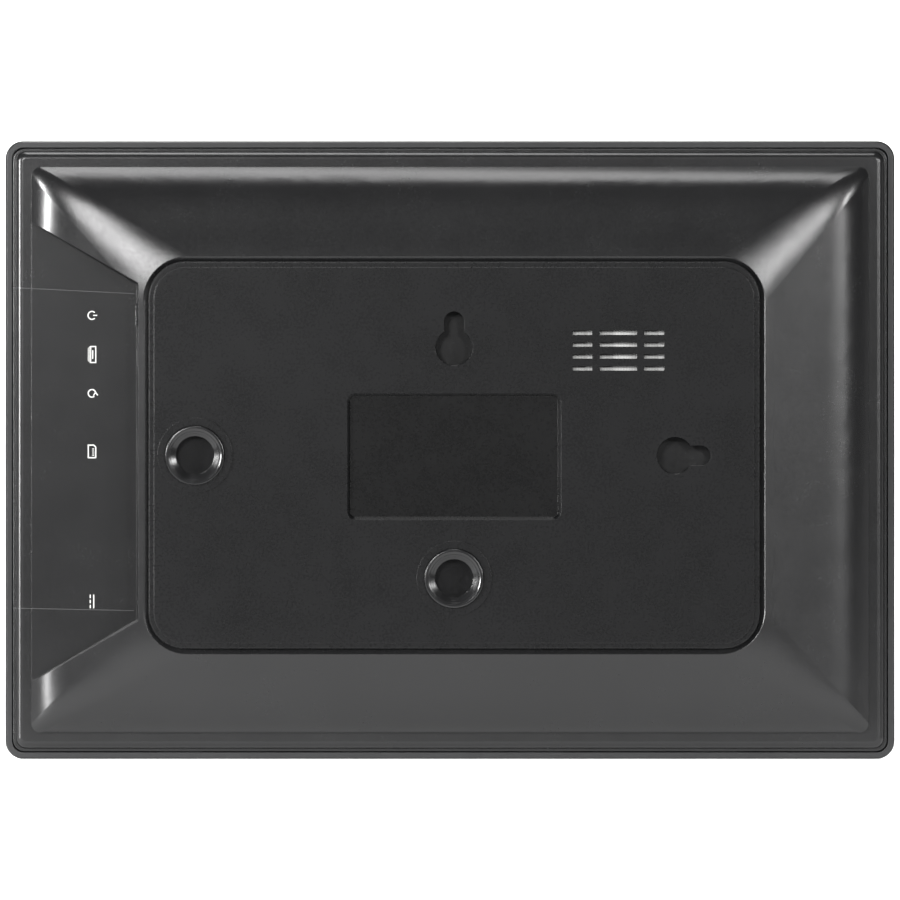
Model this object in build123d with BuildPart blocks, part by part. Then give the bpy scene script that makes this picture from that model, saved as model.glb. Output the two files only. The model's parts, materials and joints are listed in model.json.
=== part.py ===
"""Digital photo frame with a 10.1 inch screen, as an assembly of its separate pieces.

Millimetres. X runs along the width, +Z is up, the screen faces -Y and the back faces +Y.
The origin is the middle of the bottom edge that the frame stands on.
"""
import os
from math import radians, tan

from build123d import *

os.makedirs("parts", exist_ok=True)

# ---------------------------------------------------------------------------
# Driving dimensions
# ---------------------------------------------------------------------------
# Outline
frame_width = 259.0
frame_height = 180.0
frame_depth = 25.0
corner_radius = 5.2

# Front bezel
bezel_plate = 2.8
bezel_wall = 1.9
bezel_skirt_top = 9.5
bezel_front_round = 1.2
bezel_rear_bevel = 0.45
border_side = 20.2
border_end = 21.4
window_bevel = 1.6
lens_overlap = 5.2

# Layers of the display, front to back
gasket_thickness = 0.5
gasket_inset = 1.0
glass_thickness = 1.1
tape_thickness = 0.3
tape_width = 3.6
cell_thickness = 1.4
films_thickness = 0.6
guide_thickness = 2.0
reflector_thickness = 0.2
tray_wall = 0.5
layer_gap = 0.3
guide_led_margin = 3.4
led_strip_thickness = 0.8
led_length = 3.2
led_height = 1.2
led_depth = 1.4
led_pitch = 9.0

# Rear cover, outside
parting_gap = 0.3
cover_edge_flat = 0.8
cover_edge_round = 0.35
cover_edge_drop = 0.2
shoulder_rise = 2.2
shoulder_round = 2.1
ledge_inset = 7.6
ledge_step = 0.6
step_radius = 2.8
panel_bay_side = 32.6
panel_far_side = 30.2
panel_top = 26.1
panel_bottom = 23.0
plateau_radius = 13.0
cover_wall = 2.0
cover_skin = 1.7

# Rear cover, connector bay
bay_depth = 38.25
bay_length = 97.5
bay_drop = 0.6
bay_side_run = 31.0
bay_side_spread = 18.3
bay_draft = 4.0

# Rear plate
plate_drop = 1.0
plate_gap = 0.35
plate_thickness = 2.3
plate_edge_height = 1.9
plate_ledge = 1.4
plate_radius = 10.5
plate_edge_round = 0.25
channel_width = 1.4
channel_depth = 0.7

# Stand sockets
socket_rise = 1.2
socket_ring_rise = 0.4
socket_ring_radius = 10.9
socket_radius = 8.6
socket_flange_radius = 9.8
socket_flange = 1.4
socket_stem_radius = 7.4
socket_bore_radius = 5.6
socket_bore_depth = 7.0
socket_floor = 1.2
socket_mouth_chamfer = 0.8
socket_seat = 1.5
socket_gap = 0.1
bottom_socket_edge = 20.3
side_socket_edge = 13.4

# Wall keyholes
keyhole_radius = 5.3
keyhole_slot_radius = 2.8
keyhole_travel = 7.5
keyhole_edge_round = 0.25
keyhole_cup_radius = 5.8
keyhole_cup_wall = 1.2
keyhole_cup_depth = 3.8
top_keyhole_edge = 24.6
side_keyhole_edge = 24.5

# Label recess
label_width = 62.2
label_top_margin = 8.1
label_bottom_margin = 6.1
label_radius = 2.4
label_depth = 1.2
label_draft = 38.0

# Speaker and its grille
speaker_shift = 0.125
speaker_top_edge = 25.6
slot_height = 1.3
slot_pitch = 3.45
slot_columns = ((-10.4, 5.8), (0.0, 10.8), (10.4, 5.6))
speaker_length = 30.0
speaker_width = 16.0
speaker_rim = 1.6
speaker_depth = 3.6
speaker_corner = 3.0
speaker_gasket = 0.5
speaker_ear = 4.6
speaker_ear_thickness = 1.2
mesh_thickness = 0.4
mesh_margin = 0.2
magnet_length = 15.0
magnet_width = 9.0
magnet_depth = 1.8
cone_thickness = 0.4

# Circuit board and what it carries
pcb_width = 72.0
pcb_height = 95.0
pcb_thickness = 1.6
pcb_lift = 3.5
pcb_wall_gap = 0.35
pcb_edge_gap = 0.21
pcb_drop = 1.4

# Places of the connectors along the bay wall, up from the middle of the bay
power_up = 39.8
usb_up = 28.4
reset_up = 17.1
card_up = 0.2
dc_up = -43.5

# Power button and its switch
button_length = 7.0
button_height = 2.0
button_proud = 0.6
button_flange = 1.0
button_flange_rim = 0.4
button_travel = 0.4
button_gap = 0.15
button_rise = 1.7
switch_length = 7.0
switch_depth = 3.6
switch_height = 3.4
plunger_length = 2.8
plunger_height = 1.4
plunger_proud = 1.0
plunger_tail = 1.2
plunger_gap = 0.1
contact_gap = 0.02

# Reset switch
pinhole_radius = 0.8
reset_length = 4.0
reset_depth = 3.0
reset_height = 2.6
reset_rise = 1.3
reset_plunger_radius = 0.7
reset_travel = 0.25
reset_setback = 1.8

# Micro USB socket
usb_width = 7.5
usb_height = 2.7
usb_depth = 5.2
usb_shell = 0.3
usb_corner = 0.7
usb_tongue_thickness = 0.6
usb_tongue_width = 3.6
usb_tongue_depth = 4.0
port_setback = 1.4
port_window_gap = 0.45

# Card socket
card_width = 14.0
card_depth = 15.0
card_height = 1.5
card_shell = 0.2
card_slot_width = 11.6
card_slot_height = 1.1
slider_width = 1.2
slider_length = 7.0
slider_height = 0.7
slider_travel = 1.0
slider_gap = 0.15

# DC jack
dc_width = 9.0
dc_depth = 12.0
dc_height = 5.0
dc_nose_radius = 2.5
dc_bore_radius = 1.9
dc_bore_depth = 9.0
dc_pin_radius = 0.65
dc_contact_thickness = 0.25

# Screws
cover_screw_radius = 1.25
cover_screw_head_radius = 2.6
cover_screw_head = 1.5
cover_boss_radius = 3.6
cover_boss_depth = 5.4
post_radius = 3.0
cover_screw_inset_x = 8.8
cover_screw_inset_z = 3.9
pcb_screw_radius = 0.95
pcb_screw_head_radius = 2.2
pcb_screw_head = 1.2
pcb_post_radius = 2.6
pcb_screw_inset = 4.0
pcb_screw_port_inset = 17.0
thread_gap = 0.05
screw_gap = 0.25
screw_end_gap = 0.4

# Brackets that hold the display in the bezel
bracket_thickness = 0.6
bracket_width = 12.0
bracket_reach = 8.0
bracket_gap = 0.4
bracket_boss_radius = 3.0
bracket_boss_height = 4.5
bracket_boss_clear = 4.3
bracket_spacing = 90.0
bracket_screw_head_radius = 2.4
bracket_screw_head = 1.0

# Snap fits
barb_length = 12.0
barb_height = 0.9
barb_reach = 0.45
barb_spacing = 52.0
barb_drop = 4.0
clip_width = 5.0
clip_thickness = 1.2
clip_barb = 0.5
clip_inset = 3.2
clip_gap = 0.3
clip_length = 3.2
small_drive = 1.0
cover_drive = 1.3
round_limit = 0.01
button_edge_round = 0.3
button_flange_corner = 1.0

# Parts on the board
processor_offset = (4.0, 8.0)
can_offset = 6.0
can_vent_pitch = 4.0
can_vent_columns = 4
can_vent_rows = 8
can_vent_radius = 0.6
wifi_offset = (18.0, 24.0)
wifi_board = 0.8
wifi_lid = 1.6
wifi_margin = 0.8
inductor_offset = (10.0, 16.0)
inductor_round = 1.0
capacitor_count = 6
capacitor_pitch = 2.4
capacitor_reach = (4.0, 2.5)
capacitor_clear = 1.0
crystal_size = (3.2, 2.5)
crystal_height = 0.8
crystal_offset = (1.0, 3.0)
ribbon_socket_wall = 1.0
ribbon_slot_depth = 3.0
ribbon_ramp = (5.0, 1.5)
ribbon_insert = 2.0
speaker_socket_drop = 12.5
plug_insert = 2.0
lead_spacing = 1.0
lead_bend = (14.0, 4.0, 12.0)
lead_run = 8.0
aerial_offset = (8.0, 6.5)
coax_inset = 2.0
coax_lift = 0.4
coax_run = 12.0
touch_flex_width = 10.0
lcd_flex_width = 24.0
flex_thickness = 0.2
flex_lap = 2.4
clip_offset = 52.0
memory_offset = 13.5
flash_offset = 22.0
chip_height = 1.2
processor_size = (14.0, 14.0)
memory_size = (13.0, 9.0)
flash_size = (11.5, 13.0)
can_size = (20.0, 36.0)
can_height = 2.2
can_sheet = 0.25
wifi_size = (12.0, 12.0)
inductor_size = (6.0, 6.0)
inductor_height = 2.8
inductor_pitch = 9.0
capacitor_size = (1.6, 0.8)
capacitor_height = 0.8
ribbon_socket_height = 2.0
ribbon_socket_depth = 5.0
ribbon_socket_up = 10.0
ribbon_rise = 0.8
speaker_socket_size = (4.2, 5.0)
speaker_socket_height = 3.2
speaker_plug_size = (3.0, 3.6)
speaker_plug_height = 1.8
lead_radius = 0.45
aerial_size = (32.0, 5.0)
aerial_thickness = 0.4
coax_radius = 0.5


# ---------------------------------------------------------------------------
# Derived levels along Y, front to back
# ---------------------------------------------------------------------------
front_y = -frame_depth / 2
bezel_floor_y = front_y + bezel_plate
skirt_y = front_y + bezel_skirt_top
glass_front_y = bezel_floor_y + gasket_thickness
glass_back_y = glass_front_y + glass_thickness
cell_front_y = glass_back_y + tape_thickness
cell_back_y = cell_front_y + cell_thickness
films_back_y = cell_back_y + films_thickness
guide_back_y = films_back_y + guide_thickness
tray_floor_y = guide_back_y + reflector_thickness
tray_back_y = tray_floor_y + tray_wall

cover_edge_y = skirt_y + cover_edge_drop
ledge_y = cover_edge_y + shoulder_rise
floor_y = ledge_y + ledge_step
plate_y = frame_depth / 2 - socket_rise
plate_seat_y = plate_y - plate_thickness
land_y = plate_seat_y + plate_drop
dome_height = land_y - floor_y
plate_ledge_y = plate_seat_y + plate_edge_height
ceiling_y = plate_seat_y - cover_skin
bay_under_y = floor_y - cover_skin
rim_under_y = ledge_y - cover_skin

socket_top_y = plate_y + socket_rise
socket_ring_y = plate_y + socket_ring_rise
socket_flange_y = plate_seat_y - socket_flange
socket_bottom_y = socket_top_y - socket_bore_depth - socket_floor

pcb_y = tray_back_y + pcb_lift
pcb_top_y = pcb_y + pcb_thickness

# ---------------------------------------------------------------------------
# Derived sizes and places across the frame
# ---------------------------------------------------------------------------
mid_z = frame_height / 2
window_width = frame_width - 2 * border_side
window_height = frame_height - 2 * border_end
module_width = window_width + 2 * lens_overlap
module_height = window_height + 2 * lens_overlap
cell_width = module_width - 2 * (tray_wall + layer_gap)
cell_height = module_height - 2 * (tray_wall + layer_gap)
guide_height = cell_height - guide_led_margin
guide_z = mid_z + guide_led_margin / 2
module_bottom_z = mid_z - module_height / 2

cover_inset = bezel_wall + parting_gap
cover_width = frame_width - 2 * cover_inset
cover_height = frame_height - 2 * cover_inset
cover_radius = corner_radius - bezel_wall
shoulder_width = cover_width - 2 * cover_edge_flat
shoulder_height = cover_height - 2 * cover_edge_flat
step_width = frame_width - 2 * ledge_inset
step_height = frame_height - 2 * ledge_inset

# The plateau is what the four sloping panels leave free
plateau_width = step_width - panel_bay_side - panel_far_side
plateau_height = step_height - panel_top - panel_bottom
plateau_x = (panel_far_side - panel_bay_side) / 2
plateau_z = mid_z + (panel_bottom - panel_top) / 2

pocket_width = plateau_width - 2 * channel_width
pocket_height = plateau_height - 2 * channel_width
plate_width = pocket_width - 2 * plate_gap
plate_height = pocket_height - 2 * plate_gap
plate_bay_edge_x = plateau_x + plate_width / 2
plate_far_edge_x = plateau_x - plate_width / 2
plate_top_z = plateau_z + plate_height / 2
plate_bottom_z = plateau_z - plate_height / 2


def wall_lean(y):
    """How far the drafted wall of the bay has leaned inward at a level."""
    return (y - floor_y) * tan(radians(bay_draft))


wall_x = frame_width / 2 - bay_depth
wall_inner_x = wall_x - cover_wall
bay_z = mid_z - bay_drop

socket_bottom_at = (plateau_x, plate_bottom_z + bottom_socket_edge)
socket_side_at = (plate_bay_edge_x - side_socket_edge, plateau_z)
keyhole_top_at = (plateau_x, plate_top_z - top_keyhole_edge)
keyhole_side_at = (plate_far_edge_x + side_keyhole_edge, plateau_z)
label_top_z = keyhole_top_at[1] - keyhole_radius - label_top_margin
label_bottom_z = socket_bottom_at[1] + socket_ring_radius + label_bottom_margin
label_height = label_top_z - label_bottom_z
label_z = (label_top_z + label_bottom_z) / 2
cup_edge_x = plateau_x - keyhole_cup_radius - keyhole_cup_wall
speaker_at = ((plate_far_edge_x + cup_edge_x) / 2 + speaker_shift, plate_top_z - speaker_top_edge)

pcb_edge_x = wall_inner_x - wall_lean(pcb_top_y) - pcb_edge_gap
pcb_x = pcb_edge_x - pcb_width / 2
pcb_z = bay_z - pcb_drop
pcb_bottom_z = pcb_z - pcb_height / 2
pcb_top_z = pcb_z + pcb_height / 2

screw_points = [
    (
        plateau_x + side * (plate_width / 2 - cover_screw_inset_x),
        plateau_z + end * (plate_height / 2 - cover_screw_inset_z),
    )
    for side in (-1, 1)
    for end in (-1, 1)
]


# ---------------------------------------------------------------------------
# Helpers
# ---------------------------------------------------------------------------
def level(y):
    """Plane across the frame at depth y: its own x is X, its own y is Z, and it looks to the front."""
    return Plane.XZ.offset(-y)


def slab(x_range, y_range, z_range):
    """Box between three pairs of limits."""
    with BuildPart() as block:
        with BuildSketch(level(y_range[1])):
            with Locations(((x_range[0] + x_range[1]) / 2, (z_range[0] + z_range[1]) / 2)):
                Rectangle(x_range[1] - x_range[0], z_range[1] - z_range[0])
        extrude(amount=y_range[1] - y_range[0])
    return block.part


def round_slab(center, size, radius, y_range):
    """Plate with rounded corners, parallel to the screen."""
    with BuildPart() as block:
        with BuildSketch(level(y_range[1])):
            with Locations(center):
                RectangleRounded(size[0], size[1], radius)
        extrude(amount=y_range[1] - y_range[0])
    return block.part


def drum(center, radius, y_range):
    """Cylinder that stands across the screen."""
    with BuildPart() as block:
        with BuildSketch(level(y_range[1])):
            with Locations(center):
                Circle(radius)
        extrude(amount=y_range[1] - y_range[0])
    return block.part


def slot_block(entry, travel, direction, radius, y_range):
    """Round-ended block from an entry point along a direction across the screen."""
    center = (entry[0] + direction[0] * travel / 2, entry[1] + direction[1] * travel / 2)
    turn = 90 if direction[1] else 0
    with BuildPart() as block:
        with BuildSketch(level(y_range[1])):
            with Locations(Location((center[0], center[1], 0), (0, 0, turn))):
                SlotCenterToCenter(travel, 2 * radius)
        extrude(amount=y_range[1] - y_range[0])
    return block.part


def ring_slab(outer, inner, y_range):
    """Flat frame around the middle of the screen."""
    with BuildPart() as block:
        with BuildSketch(level(y_range[1])):
            with Locations((0, mid_z)):
                Rectangle(outer[0], outer[1])
                Rectangle(inner[0], inner[1], mode=Mode.SUBTRACT)
        extrude(amount=y_range[1] - y_range[0])
    return block.part


def rod_x(center_yz, radius, x_range):
    """Cylinder that lies along X."""
    with BuildPart() as block:
        with BuildSketch(Plane.YZ.offset(x_range[0])):
            with Locations(center_yz):
                Circle(radius)
        extrude(amount=x_range[1] - x_range[0])
    return block.part


def screw(center, head_radius, head_height, shank_radius, under_head_y, tip_y, drive):
    """Pan-head screw with a six-sided drive, its head toward the back."""
    with BuildPart() as fastener:
        add(drum(center, head_radius, (under_head_y, under_head_y + head_height)))
        add(drum(center, shank_radius, (tip_y, under_head_y)))
        with BuildSketch(level(under_head_y + head_height)):
            with Locations(center):
                RegularPolygon(drive, 6)
        extrude(amount=head_height * 0.6, mode=Mode.SUBTRACT)
    return fastener.part


def dome(inset, drop, base_y):
    """Convex roof from the step round the rim up to the plateau, inset and lowered by a wall."""
    rise = (0.0, 0.30, 0.60, 0.80, 1.0)
    run = (0.0, 0.12, 0.39, 0.70, 1.0)
    with BuildPart() as roof:
        for height, travel in zip(rise, run):
            width = step_width + (plateau_width - step_width) * travel - 2 * inset
            length = step_height + (plateau_height - step_height) * travel - 2 * inset
            radius = step_radius + (plateau_radius - step_radius) * travel
            with BuildSketch(level(floor_y - drop + dome_height * height)):
                with Locations((plateau_x * travel, mid_z + (plateau_z - mid_z) * travel)):
                    RectangleRounded(width, length, radius)
        loft()
        if base_y < floor_y - drop:
            with BuildSketch(level(floor_y - drop)):
                with Locations((0, mid_z)):
                    RectangleRounded(step_width - 2 * inset, step_height - 2 * inset, step_radius)
            extrude(amount=floor_y - drop - base_y)
    return roof.part


def bay_block(grow, bottom_y, top_y):
    """Wedge-shaped room for the plugs, open to the side, grown by a wall on its closed sides."""
    half = bay_length / 2
    outer_x = wall_x + bay_side_run
    beyond = outer_x + bay_depth
    slope = bay_side_spread / bay_side_run
    far_half = half + slope * (beyond - wall_x)
    lean = (top_y - floor_y) * tan(radians(bay_draft))
    with BuildPart() as room:
        with BuildSketch(level(top_y)):
            with BuildLine():
                Polyline(
                    (wall_x, bay_z - half),
                    (wall_x, bay_z + half),
                    (beyond, bay_z + far_half),
                    (beyond, bay_z - far_half),
                    close=True,
                )
            make_face()
            offset(amount=grow + lean, kind=Kind.INTERSECTION)
        extrude(amount=top_y - bottom_y, taper=bay_draft)
    return room.part


# ---------------------------------------------------------------------------
# Front bezel and the display stack
# ---------------------------------------------------------------------------
bracket_points = [
    (side * (module_width / 2 + bracket_boss_clear), mid_z + end * bracket_spacing / 2)
    for side in (-1, 1)
    for end in (-1, 1)
]
barb_y = bezel_floor_y + barb_drop
barb_x = [-1.5 * barb_spacing, -0.5 * barb_spacing, 0.5 * barb_spacing, 1.5 * barb_spacing]
barb_z = [mid_z - barb_spacing, mid_z, mid_z + barb_spacing]


def barbs(reach, extra):
    """Snap barbs round the rim of the cover, or their recesses when extra is positive."""
    height = barb_height / 2 + extra
    length = barb_length / 2 + extra
    side_x = cover_width / 2
    end_z = cover_height / 2
    blocks = []
    for side in (-1, 1):
        near_x, far_x = sorted((side * (side_x - extra), side * (side_x + reach)))
        for z in barb_z:
            blocks.append(slab((near_x, far_x), (barb_y - height, barb_y + height), (z - length, z + length)))
        near_z, far_z = sorted((mid_z + side * (end_z - extra), mid_z + side * (end_z + reach)))
        for x in barb_x:
            blocks.append(slab((x - length, x + length), (barb_y - height, barb_y + height), (near_z, far_z)))
    return blocks


with BuildPart() as front_bezel:
    add(round_slab((0, mid_z), (frame_width, frame_height), corner_radius, (front_y, skirt_y)))
    fillet(front_bezel.faces().sort_by(Axis.Y)[0].edges(), bezel_front_round)
    chamfer(front_bezel.faces().sort_by(Axis.Y)[-1].edges(), bezel_rear_bevel)
    well_size = (frame_width - 2 * bezel_wall, frame_height - 2 * bezel_wall)
    add(
        round_slab((0, mid_z), well_size, corner_radius - bezel_wall, (bezel_floor_y, skirt_y)),
        mode=Mode.SUBTRACT,
    )
    window_x = (-window_width / 2, window_width / 2)
    window_z = (mid_z - window_height / 2, mid_z + window_height / 2)
    add(slab(window_x, (front_y, bezel_floor_y), window_z), mode=Mode.SUBTRACT)
    with BuildSketch(level(front_y)):
        with Locations((0, mid_z)):
            Rectangle(window_width + 2 * window_bevel, window_height + 2 * window_bevel)
    with BuildSketch(level(front_y + window_bevel)):
        with Locations((0, mid_z)):
            Rectangle(window_width, window_height)
    loft(mode=Mode.SUBTRACT)
    for point in bracket_points:
        add(drum(point, bracket_boss_radius, (bezel_floor_y, bezel_floor_y + bracket_boss_height)))
        add(
            drum(point, pcb_screw_radius + thread_gap, (bezel_floor_y, bezel_floor_y + bracket_boss_height)),
            mode=Mode.SUBTRACT,
        )
    for recess in barbs(barb_reach + barb_reach / 2, parting_gap):
        add(recess, mode=Mode.SUBTRACT)
front_bezel.part.label = "front_bezel"
export_step(front_bezel.part, "parts/front_bezel.step")

module_size = (module_width, module_height)
cell_size = (cell_width, cell_height)

with BuildPart() as bezel_gasket:
    gasket_outer = (module_width - 2 * gasket_inset, module_height - 2 * gasket_inset)
    gasket_inner = (window_width + 2 * gasket_inset, window_height + 2 * gasket_inset)
    add(ring_slab(gasket_outer, gasket_inner, (bezel_floor_y, glass_front_y)))
bezel_gasket.part.label = "bezel_gasket"
export_step(bezel_gasket.part, "parts/bezel_gasket.step")

with BuildPart() as touch_glass:
    add(round_slab((0, mid_z), module_size, gasket_inset, (glass_front_y, glass_back_y)))
touch_glass.part.label = "touch_glass"
export_step(touch_glass.part, "parts/touch_glass.step")

touch_flex_x = pcb_x - 24.0
lcd_flex_x = pcb_x - 2.0

with BuildPart() as touch_tape:
    tape_inner = (module_width - 2 * tape_width, module_height - 2 * tape_width)
    add(ring_slab(module_size, tape_inner, (glass_back_y, cell_front_y)))
    notch_half = touch_flex_width / 2 + layer_gap
    flex_notch = (touch_flex_x - notch_half, touch_flex_x + notch_half)
    add(
        slab(flex_notch, (glass_back_y, cell_front_y), (module_bottom_z, module_bottom_z + tape_width)),
        mode=Mode.SUBTRACT,
    )
touch_tape.part.label = "touch_tape"
export_step(touch_tape.part, "parts/touch_tape.step")

with BuildPart() as lcd_cell:
    add(round_slab((0, mid_z), cell_size, layer_gap, (cell_front_y, cell_back_y)))
lcd_cell.part.label = "lcd_cell"
export_step(lcd_cell.part, "parts/lcd_cell.step")

with BuildPart() as optical_films:
    add(round_slab((0, mid_z), cell_size, layer_gap, (cell_back_y, films_back_y)))
optical_films.part.label = "optical_films"
export_step(optical_films.part, "parts/optical_films.step")

with BuildPart() as light_guide:
    add(round_slab((0, guide_z), (cell_width, guide_height), layer_gap, (films_back_y, guide_back_y)))
light_guide.part.label = "light_guide"
export_step(light_guide.part, "parts/light_guide.step")

with BuildPart() as reflector_sheet:
    add(round_slab((0, mid_z), cell_size, layer_gap, (guide_back_y, tray_floor_y)))
reflector_sheet.part.label = "reflector_sheet"
export_step(reflector_sheet.part, "parts/reflector_sheet.step")

# The light strip stands on the bottom wall of the tray, its lamps facing up into the guide
strip_bottom_z = mid_z - cell_height / 2
strip_top_z = strip_bottom_z + led_strip_thickness
with BuildPart() as led_strip:
    add(slab((-cell_width / 2, cell_width / 2), (films_back_y, guide_back_y), (strip_bottom_z, strip_top_z)))
led_strip.part.label = "led_strip"
export_step(led_strip.part, "parts/led_strip.step")

led_count = int((cell_width - led_pitch) // led_pitch)
with BuildPart() as backlight_leds:
    led_mid_y = (films_back_y + guide_back_y) / 2
    with BuildSketch(Plane.XY.offset(strip_top_z)):
        with Locations((0, led_mid_y)):
            with GridLocations(led_pitch, 1, led_count, 1):
                Rectangle(led_length, led_height)
    extrude(amount=led_depth)
backlight_leds.part.label = "backlight_leds"
export_step(backlight_leds.part, "parts/backlight_leds.step")

post_top_y = ceiling_y - cover_boss_depth
with BuildPart() as backlight_tray:
    add(round_slab((0, mid_z), module_size, gasket_inset, (cell_front_y, tray_back_y)))
    tray_room = (module_width - 2 * tray_wall, module_height - 2 * tray_wall)
    add(
        round_slab((0, mid_z), tray_room, gasket_inset - tray_wall, (cell_front_y, tray_floor_y)),
        mode=Mode.SUBTRACT,
    )
    # Notch in the lower wall where the ribbon of the glass cell leaves
    notch_half = lcd_flex_width / 2 + layer_gap
    add(
        slab(
            (lcd_flex_x - notch_half, lcd_flex_x + notch_half),
            (cell_front_y, cell_back_y + films_thickness),
            (module_bottom_z, module_bottom_z + tray_wall),
        ),
        mode=Mode.SUBTRACT,
    )
backlight_tray.part.label = "backlight_tray"
export_step(backlight_tray.part, "parts/backlight_tray.step")

boss_top_y = bezel_floor_y + bracket_boss_height
with BuildPart() as panel_brackets:
    for x, z in bracket_points:
        side = 1 if x > 0 else -1
        outer_x = abs(x) + bracket_boss_radius
        riser_x = module_width / 2 + bracket_gap
        z_range = (z - bracket_width / 2, z + bracket_width / 2)
        foot = sorted((side * riser_x, side * outer_x))
        riser = sorted((side * riser_x, side * (riser_x + bracket_thickness)))
        arm = sorted((side * (module_width / 2 - bracket_reach), side * (riser_x + bracket_thickness)))
        add(slab(foot, (boss_top_y, boss_top_y + bracket_thickness), z_range))
        add(slab(riser, (boss_top_y, tray_back_y + bracket_thickness), z_range))
        add(slab(arm, (tray_back_y, tray_back_y + bracket_thickness), z_range))
        hole_radius = pcb_screw_radius + screw_gap
        add(drum((x, z), hole_radius, (boss_top_y, boss_top_y + bracket_thickness)), mode=Mode.SUBTRACT)
panel_brackets.part.label = "panel_brackets"
export_step(panel_brackets.part, "parts/panel_brackets.step")

with BuildPart() as bracket_screws:
    for point in bracket_points:
        seat_y = boss_top_y + bracket_thickness
        tip_y = bezel_floor_y + screw_end_gap
        head_radius = bracket_screw_head_radius - bracket_gap
        head_height = bracket_screw_head
        add(screw(point, head_radius, head_height, pcb_screw_radius, seat_y, tip_y, small_drive))
bracket_screws.part.label = "bracket_screws"
export_step(bracket_screws.part, "parts/bracket_screws.step")

# ---------------------------------------------------------------------------
# Rear cover
# ---------------------------------------------------------------------------
port_rise = {
    "power": button_rise,
    "usb": usb_height / 2,
    "reset": reset_rise,
    "card": card_height / 2,
    "dc": dc_height / 2,
}
power_z = bay_z + power_up
usb_z = bay_z + usb_up
reset_z = bay_z + reset_up
card_z = bay_z + card_up
dc_z = bay_z + dc_up
power_y = pcb_top_y + port_rise["power"]
usb_y = pcb_top_y + port_rise["usb"]
reset_y = pcb_top_y + port_rise["reset"]
card_y = pcb_top_y + port_rise["card"]
dc_y = pcb_top_y + port_rise["dc"]


def wall_window(center_yz, size_yz, radius):
    """Cutter for a rounded opening through the wall of the connector bay."""
    with BuildPart() as cutter:
        with BuildSketch(Plane.YZ.offset(wall_inner_x - cover_wall)):
            with Locations(center_yz):
                RectangleRounded(size_yz[0], size_yz[1], radius)
        extrude(amount=3 * cover_wall)
    return cutter.part


ear_offset = speaker_length / 2 + speaker_ear / 2
ear_points = [(speaker_at[0] + side * ear_offset, speaker_at[1]) for side in (-1, 1)]
clip_points = [
    (plateau_x + across, plateau_z + side * (plate_height / 2 - clip_inset))
    for across in (-clip_offset, clip_offset)
    for side in (-1, 1)
]

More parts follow.
